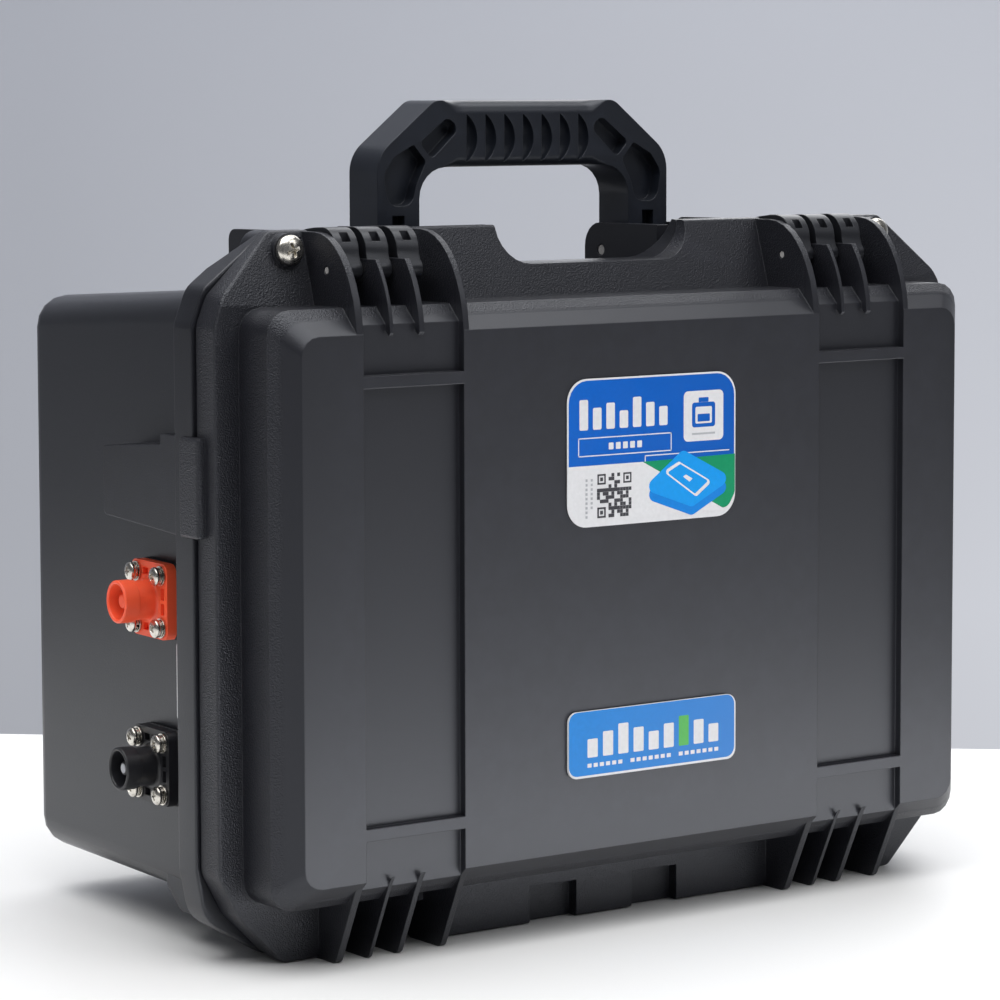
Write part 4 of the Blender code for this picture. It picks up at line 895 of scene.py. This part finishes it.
def build_stack_foam():
    """The pad under the cells, dented a little and rounded at its rim."""
    low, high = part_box("stack_foam")
    size = high - low
    rim_fall, rim_reach = 0.0018, 0.0020

    def surface(u, v, side):
        x, y = low.x + u * size.x, low.y + v * size.y
        fall = rim_fall * math.exp(-rim_distance(u, v, size.x, size.y) / rim_reach)
        if side == 0:
            return Vector((x, y, low.z + fall))
        dent = 0.0004 * (1 + smooth_noise(x, y, 0.4))
        return Vector((x, y, high.z - fall - dent))

    bm = bmesh.new()
    add_pad(bm, 72, 50, surface)
    mesh = mesh_of("stack_foam_pad", bm)
    piece = add_piece("stack_foam_pad", mesh, [finishes["foam"]], "base", ["stack_foam"])
    round_edges(piece, 0.0005, 2, 60)


def build_lid_gasket():
    """A rubber seal with two lips that runs round the mouth of the case."""
    low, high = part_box("lid_gasket")
    half = 0.0019
    centre_line = rectangle((low.x + half, low.z + half), (high.x - half, high.z - half), 0.0180, 10)
    depth = high.y - low.y
    profile = [(-half, 0.0), (half, 0.0)]
    profile += [(half, depth * 0.55), (half * 0.72, depth * 0.92), (half * 0.35, depth)]
    profile += [(0.0, depth * 0.62), (-half * 0.35, depth)]
    profile += [(-half * 0.72, depth * 0.92), (-half, depth * 0.55)]
    bm = bmesh.new()
    rings = []
    count = len(centre_line)
    for index, here in enumerate(centre_line):
        along = (centre_line[(index + 1) % count] - centre_line[index - 1]).normalized()
        outward = Vector((along.y, -along.x))
        points = [(here + outward * across, low.y + back) for across, back in profile]
        rings.append([bm.verts.new((point.x, y, point.y)) for point, y in points])
    join_rings(bm, rings, closed=True)
    mesh = mesh_of("lid_seal", bm)
    piece = add_piece("lid_seal", mesh, [finishes["rubber"]], "lid", ["lid_gasket"])
    round_edges(piece, 0.0002, 2, 50)


# ---------------------------------------------------------------- floor, light and camera
def plane(name, corners, material):
    bm = bmesh.new()
    bm.faces.new([bm.verts.new(corner) for corner in corners])
    made = bpy.data.objects.new(name, mesh_of(name, bm))
    bpy.context.scene.collection.objects.link(made)
    made.data.materials.append(material)


def backdrop_material(name, shade, roughness):
    s = Shader(name)
    clouds = s.remap(s.noise(1.5, 3.0), 0.3, 0.7)
    s.set(Base_Color=s.mix(clouds, scaled(shade, 0.985), scaled(shade, 1.015)), Roughness=roughness)
    return s.material


def wall_glow(material, right):
    """Light that spills on the wall from below and from the right."""
    s = Shader(material.name, material)
    inputs = {0: s.coordinates, 1: right}
    along = s.add("ShaderNodeVectorMath", inputs, operation="DOT_PRODUCT").outputs["Value"]
    across = s.remap(along, -0.48, 0.48)
    down = s.remap(s.axis("Z"), 0.48, -0.12)
    spill = s.math("MULTIPLY", down, s.remap(across, 0.0, 1.0, 0.12, 0.23))
    s.set(Emission_Strength=s.math("ADD", spill, s.math("MULTIPLY", across, 0.09)))
    s.set(Emission_Color=colour(0.96, 0.97, 1.0))


def set_stage():
    """The table, whose back edge shows as the horizon, and a wall square to the camera's view."""
    table = backdrop_material("table_finish", colour(0.90, 0.90, 0.895), 0.45)
    back_left, back_right = Vector((-1.40, 1.83, 0)), Vector((2.00, -1.18, 0))
    towards = Vector((-1.20, -1.35, 0))
    far_left = back_left + (back_left - back_right) * 0.3
    corners = [far_left, far_left + towards * 1.7, back_right + towards * 0.35, back_right]
    plane("table", corners, table)
    wall = backdrop_material("wall_finish", colour(0.50, 0.52, 0.58), 0.9)
    right, ahead = Vector((0.813, -0.582, 0)), Vector((0.582, 0.813, 0))
    wall_glow(wall, right)
    left_end, right_end = ahead * 1.9 - right * 4, ahead * 1.9 + right * 4
    foot, top = Vector((0, 0, -1.5)), Vector((0, 0, 3.0))
    plane("wall", [left_end + foot, right_end + foot, right_end + top, left_end + top], wall)


def area_light(name, position, target, size, power, shine_only=False):
    """A rectangular lamp; shine_only leaves it out of matt light, so it shows only as highlights."""
    data = bpy.data.lights.new(name, "AREA")
    data.shape = "RECTANGLE"
    data.size, data.size_y = size
    data.energy = power
    made = bpy.data.objects.new(name, data)
    made.location = position
    made.rotation_euler = (Vector(target) - Vector(position)).to_track_quat("-Z", "Y").to_euler()
    made.visible_camera = made.visible_diffuse = not shine_only
    bpy.context.scene.collection.objects.link(made)


def set_light():
    area_light("key", (1.2, -2.2, 1.9), (0, 0, 0.15), (1.4, 1.0), 10)
    area_light("top", (-0.3, -0.2, 2.1), (-0.1, 0, 0.0), (3.0, 3.0), 88)
    area_light("low", (0.12, -0.25, 0.004), (0.12, -0.25, 1.0), (0.70, 0.26), 1.9, shine_only=True)
    area_light("back", (1.3, 0.9, 1.1), (0.3, 0, 0), (1.2, 1.0), 8)
    world = bpy.data.worlds.new("studio")
    world.use_nodes = True
    background = world.node_tree.nodes["Background"]
    background.inputs["Color"].default_value = colour(0.86, 0.88, 0.94)
    background.inputs["Strength"].default_value = 0.15
    bpy.context.scene.world = world
    bpy.context.scene.view_settings.view_transform = "Standard"


def set_camera():
    """The view fitted to the case's corners: place, turn and focal length."""
    yaw, pitch, roll = math.radians(35.616), math.radians(5.349), math.radians(-0.138)
    data = bpy.data.cameras.new("camera")
    data.sensor_width = 36.0
    data.lens = 134.0
    data.shift_x = -0.0006
    data.shift_y = -0.0579
    data.clip_end = 20.0
    made = bpy.data.objects.new("camera", data)
    made.location = (-1.06049, -1.36181 - CASE_Y, 0.39013)
    made.rotation_mode = "QUATERNION"
    facing = Matrix.Rotation(-yaw, 3, "Z") @ Matrix.Rotation(math.pi / 2 - pitch, 3, "X")
    made.rotation_quaternion = (facing @ Matrix.Rotation(roll, 3, "Z")).to_quaternion()
    bpy.context.scene.collection.objects.link(made)
    bpy.context.scene.camera = made


dress_nodes()
build_handle()
build_connector_screws()
build_lock_bolts()
build_socket("positive", POSITIVE_HEIGHT)
build_socket("negative", NEGATIVE_HEIGHT, inks["pale"])
build_upper_label()
build_lower_label()
build_lid_foam()
build_stack_foam()
build_lid_gasket()
set_stage()
set_light()
set_camera()
